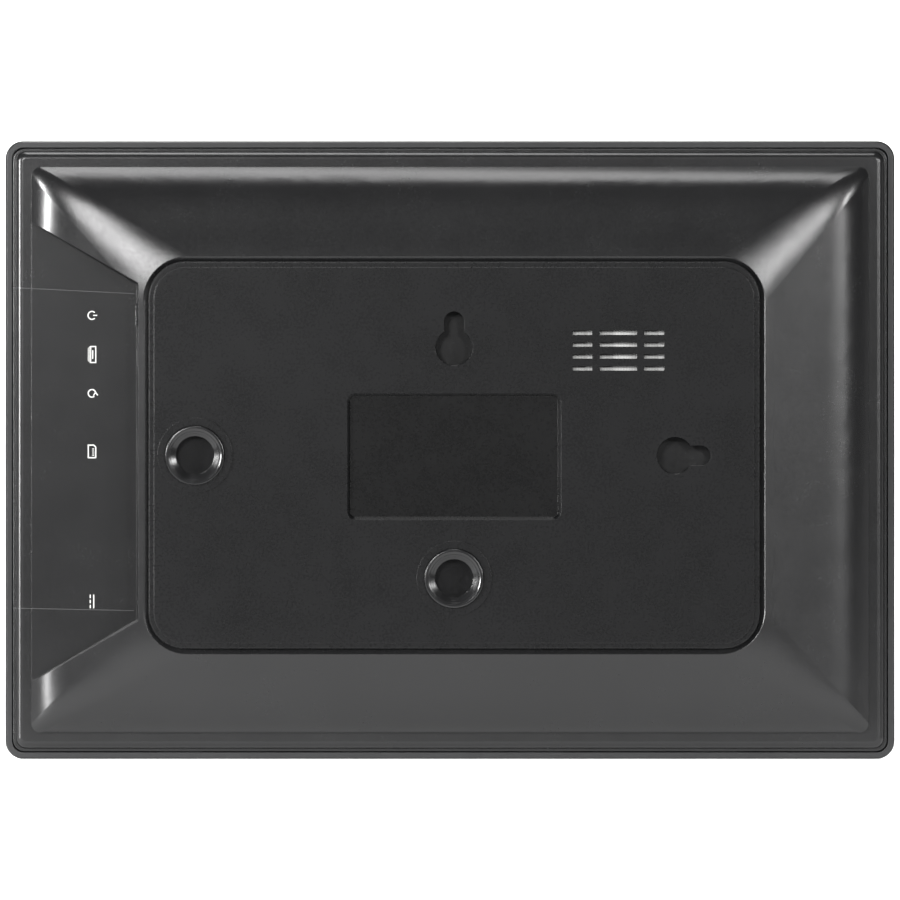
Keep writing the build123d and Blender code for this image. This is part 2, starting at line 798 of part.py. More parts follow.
with BuildPart() as rear_cover:
    # Side wall inside the bezel, shoulder, ledge and step
    edge_size = (cover_width, cover_height)
    add(round_slab((0, mid_z), edge_size, cover_radius, (bezel_floor_y, cover_edge_y)))
    fillet(rear_cover.faces().sort_by(Axis.Y)[-1].edges(), cover_edge_round)
    shoulder_size = (shoulder_width, shoulder_height)
    with BuildPart(mode=Mode.PRIVATE) as shoulder:
        add(round_slab((0, mid_z), shoulder_size, cover_radius - parting_gap, (bezel_floor_y, ledge_y)))
        fillet(shoulder.faces().sort_by(Axis.Y)[-1].edges(), shoulder_round)
    add(shoulder.part)
    add(dome(0.0, 0.0, ledge_y))
    add(bay_block(0.0, floor_y, land_y + cover_wall), mode=Mode.SUBTRACT)

    # Hollow inside, leaving a wall round the rim, the roof and the bay
    with BuildPart(mode=Mode.PRIVATE) as hollow:
        add(dome(cover_skin, cover_skin, rim_under_y))
        add(bay_block(cover_wall, bay_under_y, land_y), mode=Mode.SUBTRACT)
        add(slab((-frame_width, frame_width), (ceiling_y, land_y), (0, frame_height)), mode=Mode.SUBTRACT)
        rim_size = (cover_width - 2 * cover_wall, cover_height - 2 * cover_wall)
        add(round_slab((0, mid_z), rim_size, cover_edge_flat, (bezel_floor_y, rim_under_y)))
    add(hollow.part, mode=Mode.SUBTRACT)

    # Pocket for the rear plate with its sloping channel
    with BuildSketch(level(land_y)):
        with Locations((plateau_x, plateau_z)):
            RectangleRounded(plateau_width, plateau_height, plateau_radius)
    with BuildSketch(level(land_y - channel_depth)):
        with Locations((plateau_x, plateau_z)):
            RectangleRounded(pocket_width, pocket_height, plate_radius + plate_gap)
    loft(mode=Mode.SUBTRACT)
    pocket_size = (pocket_width, pocket_height)
    add(
        round_slab((plateau_x, plateau_z), pocket_size, plate_radius + plate_gap, (plate_seat_y, land_y)),
        mode=Mode.SUBTRACT,
    )

    # Cups behind the keyholes
    for entry, direction in ((keyhole_top_at, (0, 1)), (keyhole_side_at, (-1, 0))):
        cup_floor_y = plate_seat_y - keyhole_cup_depth
        outer_radius = keyhole_cup_radius + keyhole_cup_wall
        cup_y = (cup_floor_y - keyhole_cup_wall, ceiling_y)
        add(slot_block(entry, keyhole_travel, direction, outer_radius, cup_y))
        add(
            slot_block(entry, keyhole_travel, direction, keyhole_cup_radius, (cup_floor_y, plate_seat_y)),
            mode=Mode.SUBTRACT,
        )

    # Seats for the stand sockets
    for point in (socket_bottom_at, socket_side_at):
        seat_bottom_y = socket_flange_y - socket_seat
        add(drum(point, socket_flange_radius + socket_seat, (seat_bottom_y, ceiling_y)))
        flange_y = (socket_flange_y, plate_seat_y)
        add(drum(point, socket_flange_radius + socket_gap, flange_y), mode=Mode.SUBTRACT)
        add(drum(point, socket_stem_radius + socket_gap, (seat_bottom_y, plate_seat_y)), mode=Mode.SUBTRACT)

    # Speaker window with a seat for its mesh, and bosses for its ears
    window_size = (speaker_length - 2 * speaker_rim, speaker_width - 2 * speaker_rim)
    mesh_seat_size = (speaker_length, speaker_width)
    mesh_seat_y = plate_seat_y - mesh_thickness - mesh_margin
    add(
        round_slab(speaker_at, window_size, speaker_corner - speaker_rim, (ceiling_y, plate_seat_y)),
        mode=Mode.SUBTRACT,
    )
    mesh_room_y = (mesh_seat_y, plate_seat_y)
    add(round_slab(speaker_at, mesh_seat_size, speaker_corner, mesh_room_y), mode=Mode.SUBTRACT)
    for point in ear_points:
        add(drum(point, speaker_ear / 2, (ceiling_y - speaker_gasket, ceiling_y)))
        hole_y = (ceiling_y - speaker_gasket, plate_seat_y - mesh_thickness)
        add(drum(point, pcb_screw_radius + thread_gap, hole_y), mode=Mode.SUBTRACT)

    # Bosses for the screws under the plate
    for point in screw_points:
        head_seat_y = plate_seat_y - cover_screw_head - screw_gap
        add(drum(point, cover_boss_radius, (post_top_y, ceiling_y)))
        add(drum(point, cover_screw_head_radius + screw_gap, (head_seat_y, plate_seat_y)), mode=Mode.SUBTRACT)
        add(drum(point, cover_screw_radius + screw_gap, (post_top_y, head_seat_y)), mode=Mode.SUBTRACT)

    # Slots for the clips of the plate
    for x, z in clip_points:
        reach = clip_thickness / 2 + clip_barb + clip_gap
        half = clip_width / 2 + clip_gap
        add(slab((x - half, x + half), (ceiling_y, plate_seat_y), (z - reach, z + reach)), mode=Mode.SUBTRACT)

    # Openings in the wall of the bay
    button_hole = (button_height + 2 * button_gap, button_length + 2 * button_gap)
    add(wall_window((power_y, power_z), button_hole, button_hole[0] / 2 - 0.01), mode=Mode.SUBTRACT)
    usb_hole = (usb_height + 2 * port_window_gap, usb_width + 2 * port_window_gap)
    add(wall_window((usb_y, usb_z), usb_hole, usb_corner + port_window_gap), mode=Mode.SUBTRACT)
    card_hole = (card_height + port_window_gap, card_slot_width + 2 * port_window_gap)
    add(wall_window((card_y, card_z), card_hole, port_window_gap), mode=Mode.SUBTRACT)
    wall_span = (wall_inner_x - cover_wall, wall_x + cover_wall)
    add(rod_x((reset_y, reset_z), pinhole_radius, wall_span), mode=Mode.SUBTRACT)
    add(rod_x((dc_y, dc_z), dc_nose_radius + button_gap, wall_span), mode=Mode.SUBTRACT)

    for barb in barbs(barb_reach, 0.0):
        add(barb)
rear_cover.part.label = "rear_cover"
export_step(rear_cover.part, "parts/rear_cover.step")

# ---------------------------------------------------------------------------
# Rear plate, its sockets and the screws that it hides
# ---------------------------------------------------------------------------
with BuildPart() as rear_plate:
    base_size = (plate_width, plate_height)
    add(round_slab((plateau_x, plateau_z), base_size, plate_radius, (plate_seat_y, plate_ledge_y)))
    fillet(rear_plate.faces().sort_by(Axis.Y)[-1].edges(), plate_edge_round)
    with BuildPart(mode=Mode.PRIVATE) as raised:
        raised_size = (plate_width - 2 * plate_ledge, plate_height - 2 * plate_ledge)
        raised_y = (plate_seat_y, plate_y)
        add(round_slab((plateau_x, plateau_z), raised_size, plate_radius - plate_ledge, raised_y))
        fillet(raised.faces().sort_by(Axis.Y)[-1].edges(), plate_edge_round)
    add(raised.part)
    for point in (socket_bottom_at, socket_side_at):
        add(drum(point, socket_ring_radius, (plate_ledge_y, socket_ring_y)))
        add(drum(point, socket_radius + socket_gap, (plate_seat_y, socket_ring_y)), mode=Mode.SUBTRACT)
    for entry, direction in ((keyhole_top_at, (0, 1)), (keyhole_side_at, (-1, 0))):
        add(drum(entry, keyhole_radius, (plate_seat_y, plate_y)), mode=Mode.SUBTRACT)
        add(
            slot_block(entry, keyhole_travel, direction, keyhole_slot_radius, (plate_seat_y, plate_y)),
            mode=Mode.SUBTRACT,
        )
        reach = keyhole_travel + keyhole_slot_radius + keyhole_edge_round
        face_edges = rear_plate.edges().filter_by_position(Axis.Y, plate_y, plate_y)
        middle = Vector(entry[0], plate_y, entry[1])
        rim = [edge for edge in face_edges if (edge.center() - middle).length < reach]
        chamfer(rim, keyhole_edge_round)
    # Recess with sloping walls for a label
    with BuildSketch(level(plate_y)):
        with Locations((plateau_x, label_z)):
            RectangleRounded(label_width, label_height, label_radius)
    extrude(amount=label_depth, taper=label_draft, mode=Mode.SUBTRACT)
    # Sound slots, four rows in three columns
    for row in range(4):
        row_z = speaker_at[1] + (row - 1.5) * slot_pitch
        for column_x, slot_length in slot_columns:
            x_range = (speaker_at[0] + column_x - slot_length / 2, speaker_at[0] + column_x + slot_length / 2)
            z_range = (row_z - slot_height / 2, row_z + slot_height / 2)
            add(slab(x_range, (plate_seat_y, plate_y), z_range), mode=Mode.SUBTRACT)
    # Clips that snap under the cover
    for x, z in clip_points:
        leg_z = (z - clip_thickness / 2, z + clip_thickness / 2)
        leg_x = (x - clip_width / 2, x + clip_width / 2)
        add(slab(leg_x, (plate_seat_y - clip_length, plate_seat_y), leg_z))
        outward = 1 if z > plateau_z else -1
        barb = sorted((z + outward * clip_thickness / 2, z + outward * (clip_thickness / 2 + clip_barb)))
        add(slab(leg_x, (plate_seat_y - clip_length, ceiling_y - socket_gap), barb))
rear_plate.part.label = "rear_plate"
export_step(rear_plate.part, "parts/rear_plate.step")

for name, point in (("stand_socket_bottom", socket_bottom_at), ("stand_socket_side", socket_side_at)):
    with BuildPart() as socket:
        add(drum(point, socket_radius, (plate_seat_y, socket_top_y)))
        chamfer(socket.faces().sort_by(Axis.Y)[-1].edges(), plate_edge_round)
        add(drum(point, socket_flange_radius, (socket_flange_y, plate_seat_y)))
        add(drum(point, socket_stem_radius, (socket_bottom_y, socket_flange_y)))
        bore_bottom_y = socket_top_y - socket_bore_depth
        add(drum(point, socket_bore_radius, (bore_bottom_y, socket_top_y)), mode=Mode.SUBTRACT)
        top_circles = socket.edges().filter_by(GeomType.CIRCLE).group_by(Axis.Y)[-1]
        chamfer(top_circles.sort_by(SortBy.RADIUS)[0], socket_mouth_chamfer)
    socket.part.label = name
    export_step(socket.part, f"parts/{name}.step")

with BuildPart() as cover_screws:
    for point in screw_points:
        seat_y = plate_seat_y - cover_screw_head - screw_gap
        tip_y = tray_back_y + screw_end_gap
        head = (cover_screw_head_radius, cover_screw_head)
        add(screw(point, *head, cover_screw_radius, seat_y, tip_y, cover_drive))
cover_screws.part.label = "cover_screws"
export_step(cover_screws.part, "parts/cover_screws.step")

with BuildPart() as tray_posts:
    for point in screw_points:
        add(drum(point, post_radius, (tray_back_y, post_top_y)))
        add(drum(point, cover_screw_radius + thread_gap, (tray_back_y, post_top_y)), mode=Mode.SUBTRACT)
tray_posts.part.label = "tray_posts"
export_step(tray_posts.part, "parts/tray_posts.step")

# ---------------------------------------------------------------------------
# Speaker
# ---------------------------------------------------------------------------
mesh_y = (mesh_seat_y, mesh_seat_y + mesh_thickness)
basket_top_y = ceiling_y - speaker_gasket
basket_y = (basket_top_y - speaker_depth, basket_top_y)
basket_size = (speaker_length, speaker_width)
basket_room = (speaker_length - 2 * speaker_rim, speaker_width - 2 * speaker_rim)

with BuildPart() as speaker_mesh:
    mesh_size = (speaker_length - 2 * mesh_margin, speaker_width - 2 * mesh_margin)
    add(round_slab(speaker_at, mesh_size, speaker_corner - mesh_margin, mesh_y))
speaker_mesh.part.label = "speaker_mesh"
export_step(speaker_mesh.part, "parts/speaker_mesh.step")

with BuildPart() as speaker_gasket_ring:
    add(round_slab(speaker_at, basket_size, speaker_corner, (basket_top_y, ceiling_y)))
    add(
        round_slab(speaker_at, basket_room, speaker_corner - speaker_rim, (basket_top_y, ceiling_y)),
        mode=Mode.SUBTRACT,
    )
    for point in ear_points:
        add(drum(point, speaker_ear / 2, (basket_top_y, ceiling_y)), mode=Mode.SUBTRACT)
speaker_gasket_ring.part.label = "speaker_gasket"
export_step(speaker_gasket_ring.part, "parts/speaker_gasket.step")

with BuildPart() as speaker_basket:
    add(round_slab(speaker_at, basket_size, speaker_corner, basket_y))
    for point in ear_points:
        inner_x = sorted((point[0], speaker_at[0]))
        ear_y = (basket_top_y - speaker_ear_thickness, basket_top_y)
        add(drum(point, speaker_ear / 2, ear_y))
        add(slab(inner_x, ear_y, (point[1] - speaker_ear / 2, point[1] + speaker_ear / 2)))
    cavity_y = (basket_y[0] + speaker_ear_thickness, basket_top_y)
    add(round_slab(speaker_at, basket_room, speaker_corner - speaker_rim, cavity_y), mode=Mode.SUBTRACT)
    for point in ear_points:
        add(drum(point, pcb_screw_radius + thread_gap, basket_y), mode=Mode.SUBTRACT)
speaker_basket.part.label = "speaker_basket"
export_step(speaker_basket.part, "parts/speaker_basket.step")

with BuildPart() as speaker_cone:
    cone_top_y = basket_top_y - mesh_thickness
    cone_y = (cone_top_y - cone_thickness, cone_top_y)
    add(round_slab(speaker_at, basket_room, speaker_corner - speaker_rim, cone_y))
    dust_cap = (magnet_length / 2, magnet_width / 2)
    add(round_slab(speaker_at, dust_cap, speaker_rim, (cone_top_y, basket_top_y)))
speaker_cone.part.label = "speaker_cone"
export_step(speaker_cone.part, "parts/speaker_cone.step")

with BuildPart() as speaker_magnet:
    magnet_size = (magnet_length, magnet_width)
    add(round_slab(speaker_at, magnet_size, speaker_rim, (basket_y[0] - magnet_depth, basket_y[0])))
speaker_magnet.part.label = "speaker_magnet"
export_step(speaker_magnet.part, "parts/speaker_magnet.step")

with BuildPart() as speaker_screws:
    for x, z in ear_points:
        seat_y = basket_top_y - speaker_ear_thickness
        with BuildPart(mode=Mode.PRIVATE) as fastener:
            add(drum((x, z), speaker_ear / 2 - screw_gap, (seat_y - pcb_screw_head, seat_y)))
            add(drum((x, z), pcb_screw_radius, (seat_y, mesh_seat_y - screw_gap)))
            with BuildSketch(level(seat_y - pcb_screw_head / 2)):
                with Locations((x, z)):
                    RegularPolygon(1.0, 6)
            extrude(amount=pcb_screw_head, mode=Mode.SUBTRACT)
        add(fastener.part)
speaker_screws.part.label = "speaker_screws"
export_step(speaker_screws.part, "parts/speaker_screws.step")

# ---------------------------------------------------------------------------
# Circuit board
# ---------------------------------------------------------------------------
port_column_x = pcb_edge_x - pcb_screw_port_inset
far_column_x = pcb_edge_x - pcb_width + pcb_screw_inset
pcb_points = [
    (x, z)
    for x in (far_column_x, port_column_x)
    for z in (pcb_bottom_z + pcb_screw_inset, pcb_top_z - pcb_screw_inset)
]

with BuildPart() as main_pcb:
    add(slab((pcb_edge_x - pcb_width, pcb_edge_x), (pcb_y, pcb_top_y), (pcb_bottom_z, pcb_top_z)))
    for point in pcb_points:
        add(drum(point, pcb_screw_radius + screw_gap, (pcb_y, pcb_top_y)), mode=Mode.SUBTRACT)
main_pcb.part.label = "main_pcb"
export_step(main_pcb.part, "parts/main_pcb.step")

with BuildPart() as pcb_posts:
    for point in pcb_points:
        add(drum(point, pcb_post_radius, (tray_back_y, pcb_y)))
        add(drum(point, pcb_screw_radius + thread_gap, (tray_back_y, pcb_y)), mode=Mode.SUBTRACT)
pcb_posts.part.label = "pcb_posts"
export_step(pcb_posts.part, "parts/pcb_posts.step")

with BuildPart() as pcb_screws:
    for point in pcb_points:
        tip_y = tray_back_y + screw_end_gap
        head = (pcb_screw_head_radius, pcb_screw_head)
        add(screw(point, *head, pcb_screw_radius, pcb_top_y, tip_y, small_drive))
pcb_screws.part.label = "pcb_screws"
export_step(pcb_screws.part, "parts/pcb_screws.step")


def chip(center, size, height, lift=0.0):
    """Package soldered on the board, given by its place, its outline and its height."""
    return slab(
        (center[0] - size[0] / 2, center[0] + size[0] / 2),
        (pcb_top_y + lift, pcb_top_y + lift + height),
        (center[1] - size[1] / 2, center[1] + size[1] / 2),
    )


processor_at = (pcb_x - processor_offset[0], pcb_z + processor_offset[1])
wifi_at = (processor_at[0] - wifi_offset[0], processor_at[1] - wifi_offset[1])

with BuildPart() as processor:
    add(chip(processor_at, processor_size, chip_height))
processor.part.label = "processor"
export_step(processor.part, "parts/processor.step")

memory_at = (processor_at[0], processor_at[1] + memory_offset)
with BuildPart() as memory_chip:
    add(chip(memory_at, memory_size, chip_height))
memory_chip.part.label = "memory_chip"
export_step(memory_chip.part, "parts/memory_chip.step")

flash_at = (processor_at[0] - flash_offset, processor_at[1])
with BuildPart() as flash_chip:
    add(chip(flash_at, flash_size, chip_height))
flash_chip.part.label = "flash_chip"
export_step(flash_chip.part, "parts/flash_chip.step")

can_at = (processor_at[0], processor_at[1] + can_offset)
with BuildPart() as shield_can:
    add(chip(can_at, can_size, can_height))
    can_room = (can_size[0] - 2 * can_sheet, can_size[1] - 2 * can_sheet)
    add(chip(can_at, can_room, can_height - can_sheet), mode=Mode.SUBTRACT)
    can_top_y = pcb_top_y + can_height
    with BuildSketch(level(can_top_y)):
        with Locations(can_at):
            with GridLocations(can_vent_pitch, can_vent_pitch, can_vent_columns, can_vent_rows):
                Circle(can_vent_radius)
    extrude(amount=can_sheet, mode=Mode.SUBTRACT)
shield_can.part.label = "shield_can"
export_step(shield_can.part, "parts/shield_can.step")

with BuildPart() as wifi_module:
    lid_size = (wifi_size[0] - 2 * wifi_margin, wifi_size[1] - 2 * wifi_margin)
    add(chip(wifi_at, wifi_size, wifi_board))
    add(chip(wifi_at, lid_size, wifi_lid, wifi_board))
wifi_module.part.label = "wifi_module"
export_step(wifi_module.part, "parts/wifi_module.step")

inductors_at = (port_column_x - inductor_offset[0], dc_z + inductor_offset[1])
with BuildPart() as power_inductors:
    for index in (0, 1):
        center = (inductors_at[0], inductors_at[1] + index * inductor_pitch)
        add(chip(center, inductor_size, inductor_height))
    fillet(power_inductors.edges().filter_by(Axis.Y), inductor_round)
power_inductors.part.label = "power_inductors"
export_step(power_inductors.part, "parts/power_inductors.step")

with BuildPart() as chip_capacitors:
    can_half = can_size[0] / 2
    row_x = (can_at[0] + can_half + capacitor_reach[0], can_at[0] - can_half - capacitor_reach[1])
    for x in row_x:
        for index in range(capacitor_count):
            z = can_at[1] + (index - (capacitor_count - 1) / 2) * capacitor_pitch
            if x > can_at[0] or abs(z - flash_at[1]) > flash_size[1] / 2 + capacitor_clear:
                add(chip((x, z), capacitor_size, capacitor_height))
chip_capacitors.part.label = "chip_capacitors"
export_step(chip_capacitors.part, "parts/chip_capacitors.step")

with BuildPart() as crystal:
    crystal_at = (processor_at[0] - crystal_offset[0], can_at[1] - can_size[1] / 2 - crystal_offset[1])
    add(chip(crystal_at, crystal_size, crystal_height))
crystal.part.label = "crystal"
export_step(crystal.part, "parts/crystal.step")

# Connectors for the ribbons at the lower edge of the board
lcd_socket_at = (lcd_flex_x, pcb_bottom_z + ribbon_socket_up)
touch_socket_at = (touch_flex_x, pcb_bottom_z + ribbon_socket_up)
ribbon_slot = flex_thickness + 2 * thread_gap
for name, center, ribbon_width in (
    ("lcd_connector", lcd_socket_at, lcd_flex_width),
    ("touch_connector", touch_socket_at, touch_flex_width),
):
    with BuildPart() as ribbon_socket:
        add(chip(center, (ribbon_width + 2 * ribbon_socket_wall, ribbon_socket_depth), ribbon_socket_height))
        bottom_z = center[1] - ribbon_socket_depth / 2
        slot_half = ribbon_width / 2 + 2 * thread_gap
        slot_y = (pcb_top_y + ribbon_rise - thread_gap, pcb_top_y + ribbon_rise - thread_gap + ribbon_slot)
        slot_x = (center[0] - slot_half, center[0] + slot_half)
        add(slab(slot_x, slot_y, (bottom_z, bottom_z + ribbon_slot_depth)), mode=Mode.SUBTRACT)
    ribbon_socket.part.label = name
    export_step(ribbon_socket.part, f"parts/{name}.step")


def ribbon(center_x, width, start_y, start_z, turn_z):
    """Flat ribbon that leaves the display, rounds its lower edge and climbs to the board."""
    back_y = tray_back_y + flex_thickness
    board_y = pcb_top_y + ribbon_rise + flex_thickness / 2
    with BuildPart() as strip:
        with BuildSketch(Plane.YZ.offset(center_x - width / 2)):
            with BuildLine():
                Polyline(
                    (start_y, start_z),
                    (start_y, turn_z),
                    (back_y, turn_z),
                    (back_y, pcb_bottom_z - ribbon_ramp[0]),
                    (board_y, pcb_bottom_z - ribbon_ramp[1]),
                    (board_y, pcb_bottom_z + ribbon_socket_up - ribbon_socket_depth / 2 + ribbon_insert),
                )
                offset(amount=flex_thickness / 2, side=Side.LEFT, closed=True)
            make_face()
        extrude(amount=width)
    return strip.part


flex_turn_z = module_bottom_z - flex_lap
with BuildPart() as lcd_flex:
    add(ribbon(lcd_flex_x, lcd_flex_width, cell_back_y - flex_thickness, strip_bottom_z, flex_turn_z))
lcd_flex.part.label = "lcd_flex"
export_step(lcd_flex.part, "parts/lcd_flex.step")

with BuildPart() as touch_flex:
    add(
        ribbon(
            touch_flex_x,
            touch_flex_width,
            glass_back_y + flex_thickness / 2,
            module_bottom_z + tape_width - layer_gap,
            flex_turn_z - flex_thickness,
        )
    )
touch_flex.part.label = "touch_flex"
export_step(touch_flex.part, "parts/touch_flex.step")

# ---------------------------------------------------------------------------
# Connectors in the wall of the bay
# ---------------------------------------------------------------------------
port_front_x = wall_x - port_setback

with BuildPart() as usb_socket:
    with BuildSketch(Plane.YZ.offset(port_front_x - usb_depth)):
        with Locations((usb_y, usb_z)):
            RectangleRounded(usb_height, usb_width, usb_corner)
    extrude(amount=usb_depth)
    with BuildSketch(Plane.YZ.offset(port_front_x - usb_depth + usb_shell)):
        with Locations((usb_y, usb_z)):
            RectangleRounded(usb_height - 2 * usb_shell, usb_width - 2 * usb_shell, usb_corner - usb_shell)
    extrude(amount=usb_depth, mode=Mode.SUBTRACT)
usb_socket.part.label = "usb_socket"
export_step(usb_socket.part, "parts/usb_socket.step")

usb_back_x = port_front_x - usb_depth + usb_shell
with BuildPart() as usb_tongue:
    tongue_y = (usb_y - usb_tongue_thickness / 2, usb_y + usb_tongue_thickness / 2)
    tongue_z = (usb_z - usb_tongue_width / 2, usb_z + usb_tongue_width / 2)
    add(slab((usb_back_x, usb_back_x + usb_tongue_depth), tongue_y, tongue_z))
usb_tongue.part.label = "usb_tongue"
export_step(usb_tongue.part, "parts/usb_tongue.step")

card_x = (pcb_edge_x - card_depth, pcb_edge_x)
card_slot_y = (card_y - card_slot_height / 2, card_y + card_slot_height / 2)
slider_z = card_z - card_width / 2 + card_shell + slider_gap + slider_width / 2
slider_x = card_x[0] + card_shell + slider_travel + slider_gap
with BuildPart() as card_socket:
    card_span = (card_z - card_width / 2, card_z + card_width / 2)
    add(slab(card_x, (pcb_top_y, pcb_top_y + card_height), card_span))
    card_room_x = (card_x[0] + card_shell, card_x[1] + card_shell)
    card_room_z = (card_z - card_width / 2 + card_shell, card_z + card_width / 2 - card_shell)
    slot_z = (card_z - card_slot_width / 2 + slider_width, card_z + card_slot_width / 2)
    add(slab((card_x[0] + card_shell, card_x[1] - card_shell), card_slot_y, card_room_z), mode=Mode.SUBTRACT)
    add(slab(card_room_x, card_slot_y, slot_z), mode=Mode.SUBTRACT)
card_socket.part.label = "card_socket"
export_step(card_socket.part, "parts/card_socket.step")

with BuildPart() as card_slider:
    slider_y = (card_y - slider_height / 2, card_y + slider_height / 2)
    slider_span = (slider_z - slider_width / 2, slider_z + slider_width / 2)
    add(slab((slider_x, slider_x + slider_length), slider_y, slider_span))
card_slider.part.label = "card_slider"
export_step(card_slider.part, "parts/card_slider.step")

with BuildPart() as dc_jack:
    dc_front_x = wall_inner_x - wall_lean(pcb_top_y + dc_height) - pcb_wall_gap
    dc_x = (dc_front_x - dc_depth, dc_front_x)
    dc_mouth_x = wall_x - wall_lean(dc_y + dc_nose_radius) - button_gap
    add(slab(dc_x, (pcb_top_y, pcb_top_y + dc_height), (dc_z - dc_width / 2, dc_z + dc_width / 2)))
    add(rod_x((dc_y, dc_z), dc_nose_radius, (dc_front_x, dc_mouth_x)))
    add(rod_x((dc_y, dc_z), dc_bore_radius, (dc_mouth_x - dc_bore_depth, dc_mouth_x)), mode=Mode.SUBTRACT)
dc_jack.part.label = "dc_jack"
export_step(dc_jack.part, "parts/dc_jack.step")

dc_floor_x = dc_mouth_x - dc_bore_depth
with BuildPart() as dc_jack_pin:
    add(rod_x((dc_y, dc_z), dc_pin_radius, (dc_floor_x, dc_mouth_x - port_setback)))
    fillet(dc_jack_pin.faces().sort_by(Axis.X)[-1].edges(), dc_pin_radius / 2)
dc_jack_pin.part.label = "dc_jack_pin"
export_step(dc_jack_pin.part, "parts/dc_jack_pin.step")

with BuildPart() as dc_jack_contact:
    contact_z = dc_z + dc_bore_radius - 2 * dc_contact_thickness
    add(
        slab(
            (dc_floor_x, dc_floor_x + dc_bore_depth / 2),
            (dc_y - dc_pin_radius, dc_y + dc_pin_radius),
            (contact_z, contact_z + dc_contact_thickness),
        )
    )
dc_jack_contact.part.label = "dc_jack_contact"
export_step(dc_jack_contact.part, "parts/dc_jack_contact.step")

# Power button: a cap through the wall, a flange behind it and a stem onto the switch
flange_top_y = power_y + button_height / 2 + button_flange_rim
flange_front_x = wall_inner_x - wall_lean(flange_top_y) - plunger_gap / 2
flange_x = (flange_front_x - button_flange, flange_front_x)
stem_end_x = flange_x[0] - button_flange / 2
with BuildPart() as power_button:
    with BuildSketch(Plane.YZ.offset(flange_x[1])):
        with Locations((power_y, power_z)):
            RectangleRounded(button_height, button_length, button_height / 2 - round_limit)
    extrude(amount=wall_x - wall_lean(power_y) + button_proud - flange_front_x)
    fillet(power_button.faces().sort_by(Axis.X)[-1].edges(), button_edge_round)
    with BuildSketch(Plane.YZ.offset(flange_x[0])):
        with Locations((power_y, power_z)):
            flange_size = (button_height + 2 * button_flange_rim, button_length + 2 * button_flange)
            RectangleRounded(flange_size[0], flange_size[1], button_flange_corner)
    extrude(amount=button_flange)
    with BuildSketch(Plane.YZ.offset(stem_end_x)):
        with Locations((power_y, power_z)):
            Rectangle(plunger_height, plunger_length)
    extrude(amount=flange_x[0] - stem_end_x)
power_button.part.label = "power_button"
export_step(power_button.part, "parts/power_button.step")

plunger_x = (stem_end_x - contact_gap - plunger_proud - plunger_tail, stem_end_x - contact_gap)
switch_face_x = plunger_x[1] - plunger_proud
with BuildPart() as power_switch:
    switch_y = (pcb_top_y, pcb_top_y + switch_height)
    switch_z = (power_z - switch_length / 2, power_z + switch_length / 2)
    add(slab((switch_face_x - switch_depth, switch_face_x), switch_y, switch_z))
    pocket_x = (plunger_x[0] - button_travel - plunger_gap, switch_face_x)
    pocket_y = (power_y - plunger_height / 2 - plunger_gap, power_y + plunger_height / 2 + plunger_gap)
    pocket_z = (power_z - plunger_length / 2 - plunger_gap, power_z + plunger_length / 2 + plunger_gap)
    add(slab(pocket_x, pocket_y, pocket_z), mode=Mode.SUBTRACT)
power_switch.part.label = "power_switch"
export_step(power_switch.part, "parts/power_switch.step")

with BuildPart() as power_switch_plunger:
    plunger_y = (power_y - plunger_height / 2, power_y + plunger_height / 2)
    plunger_z = (power_z - plunger_length / 2, power_z + plunger_length / 2)
    add(slab(plunger_x, plunger_y, plunger_z))
power_switch_plunger.part.label = "power_switch_plunger"
export_step(power_switch_plunger.part, "parts/power_switch_plunger.step")

# Reset switch behind its pinhole
reset_tip_x = wall_inner_x - reset_setback
reset_face_x = reset_tip_x - plunger_proud
with BuildPart() as reset_switch:
    reset_z_range = (reset_z - reset_length / 2, reset_z + reset_length / 2)
    reset_x = (reset_face_x - reset_depth, reset_face_x)
    add(slab(reset_x, (pcb_top_y, pcb_top_y + reset_height), reset_z_range))
    reset_room = (reset_face_x - plunger_tail - reset_travel - plunger_gap, reset_face_x)
    add(rod_x((reset_y, reset_z), reset_plunger_radius + plunger_gap, reset_room), mode=Mode.SUBTRACT)
reset_switch.part.label = "reset_switch"
export_step(reset_switch.part, "parts/reset_switch.step")

with BuildPart() as reset_plunger:
    add(rod_x((reset_y, reset_z), reset_plunger_radius, (reset_face_x - plunger_tail, reset_tip_x)))
reset_plunger.part.label = "reset_plunger"
export_step(reset_plunger.part, "parts/reset_plunger.step")

# ---------------------------------------------------------------------------
# Wiring: speaker leads with their plug, and the wireless aerial with its lead
# ---------------------------------------------------------------------------
speaker_socket_at = (far_column_x, flash_at[1] - speaker_socket_drop)
plug_lift = (speaker_socket_height - speaker_plug_height) / 2

with BuildPart() as speaker_connector:
    add(chip(speaker_socket_at, speaker_socket_size, speaker_socket_height))
    plug_x = speaker_socket_at[0] - speaker_socket_size[0] / 2
    plug_room = (speaker_plug_size[0] * 2, speaker_plug_size[1])
    add(chip((plug_x, speaker_socket_at[1]), plug_room, speaker_plug_height, plug_lift), mode=Mode.SUBTRACT)
speaker_connector.part.label = "speaker_connector"
export_step(speaker_connector.part, "parts/speaker_connector.step")

plug_z = speaker_socket_at[1]
with BuildPart() as speaker_plug:
    add(
        slab(
            (plug_x - speaker_plug_size[0] + plug_insert, plug_x + speaker_plug_size[0]),
            (pcb_top_y + plug_lift, pcb_top_y + plug_lift + speaker_plug_height),
            (plug_z - speaker_plug_size[1] / 2, plug_z + speaker_plug_size[1] / 2),
        )
    )
speaker_plug.part.label = "speaker_plug"
export_step(speaker_plug.part, "parts/speaker_plug.step")

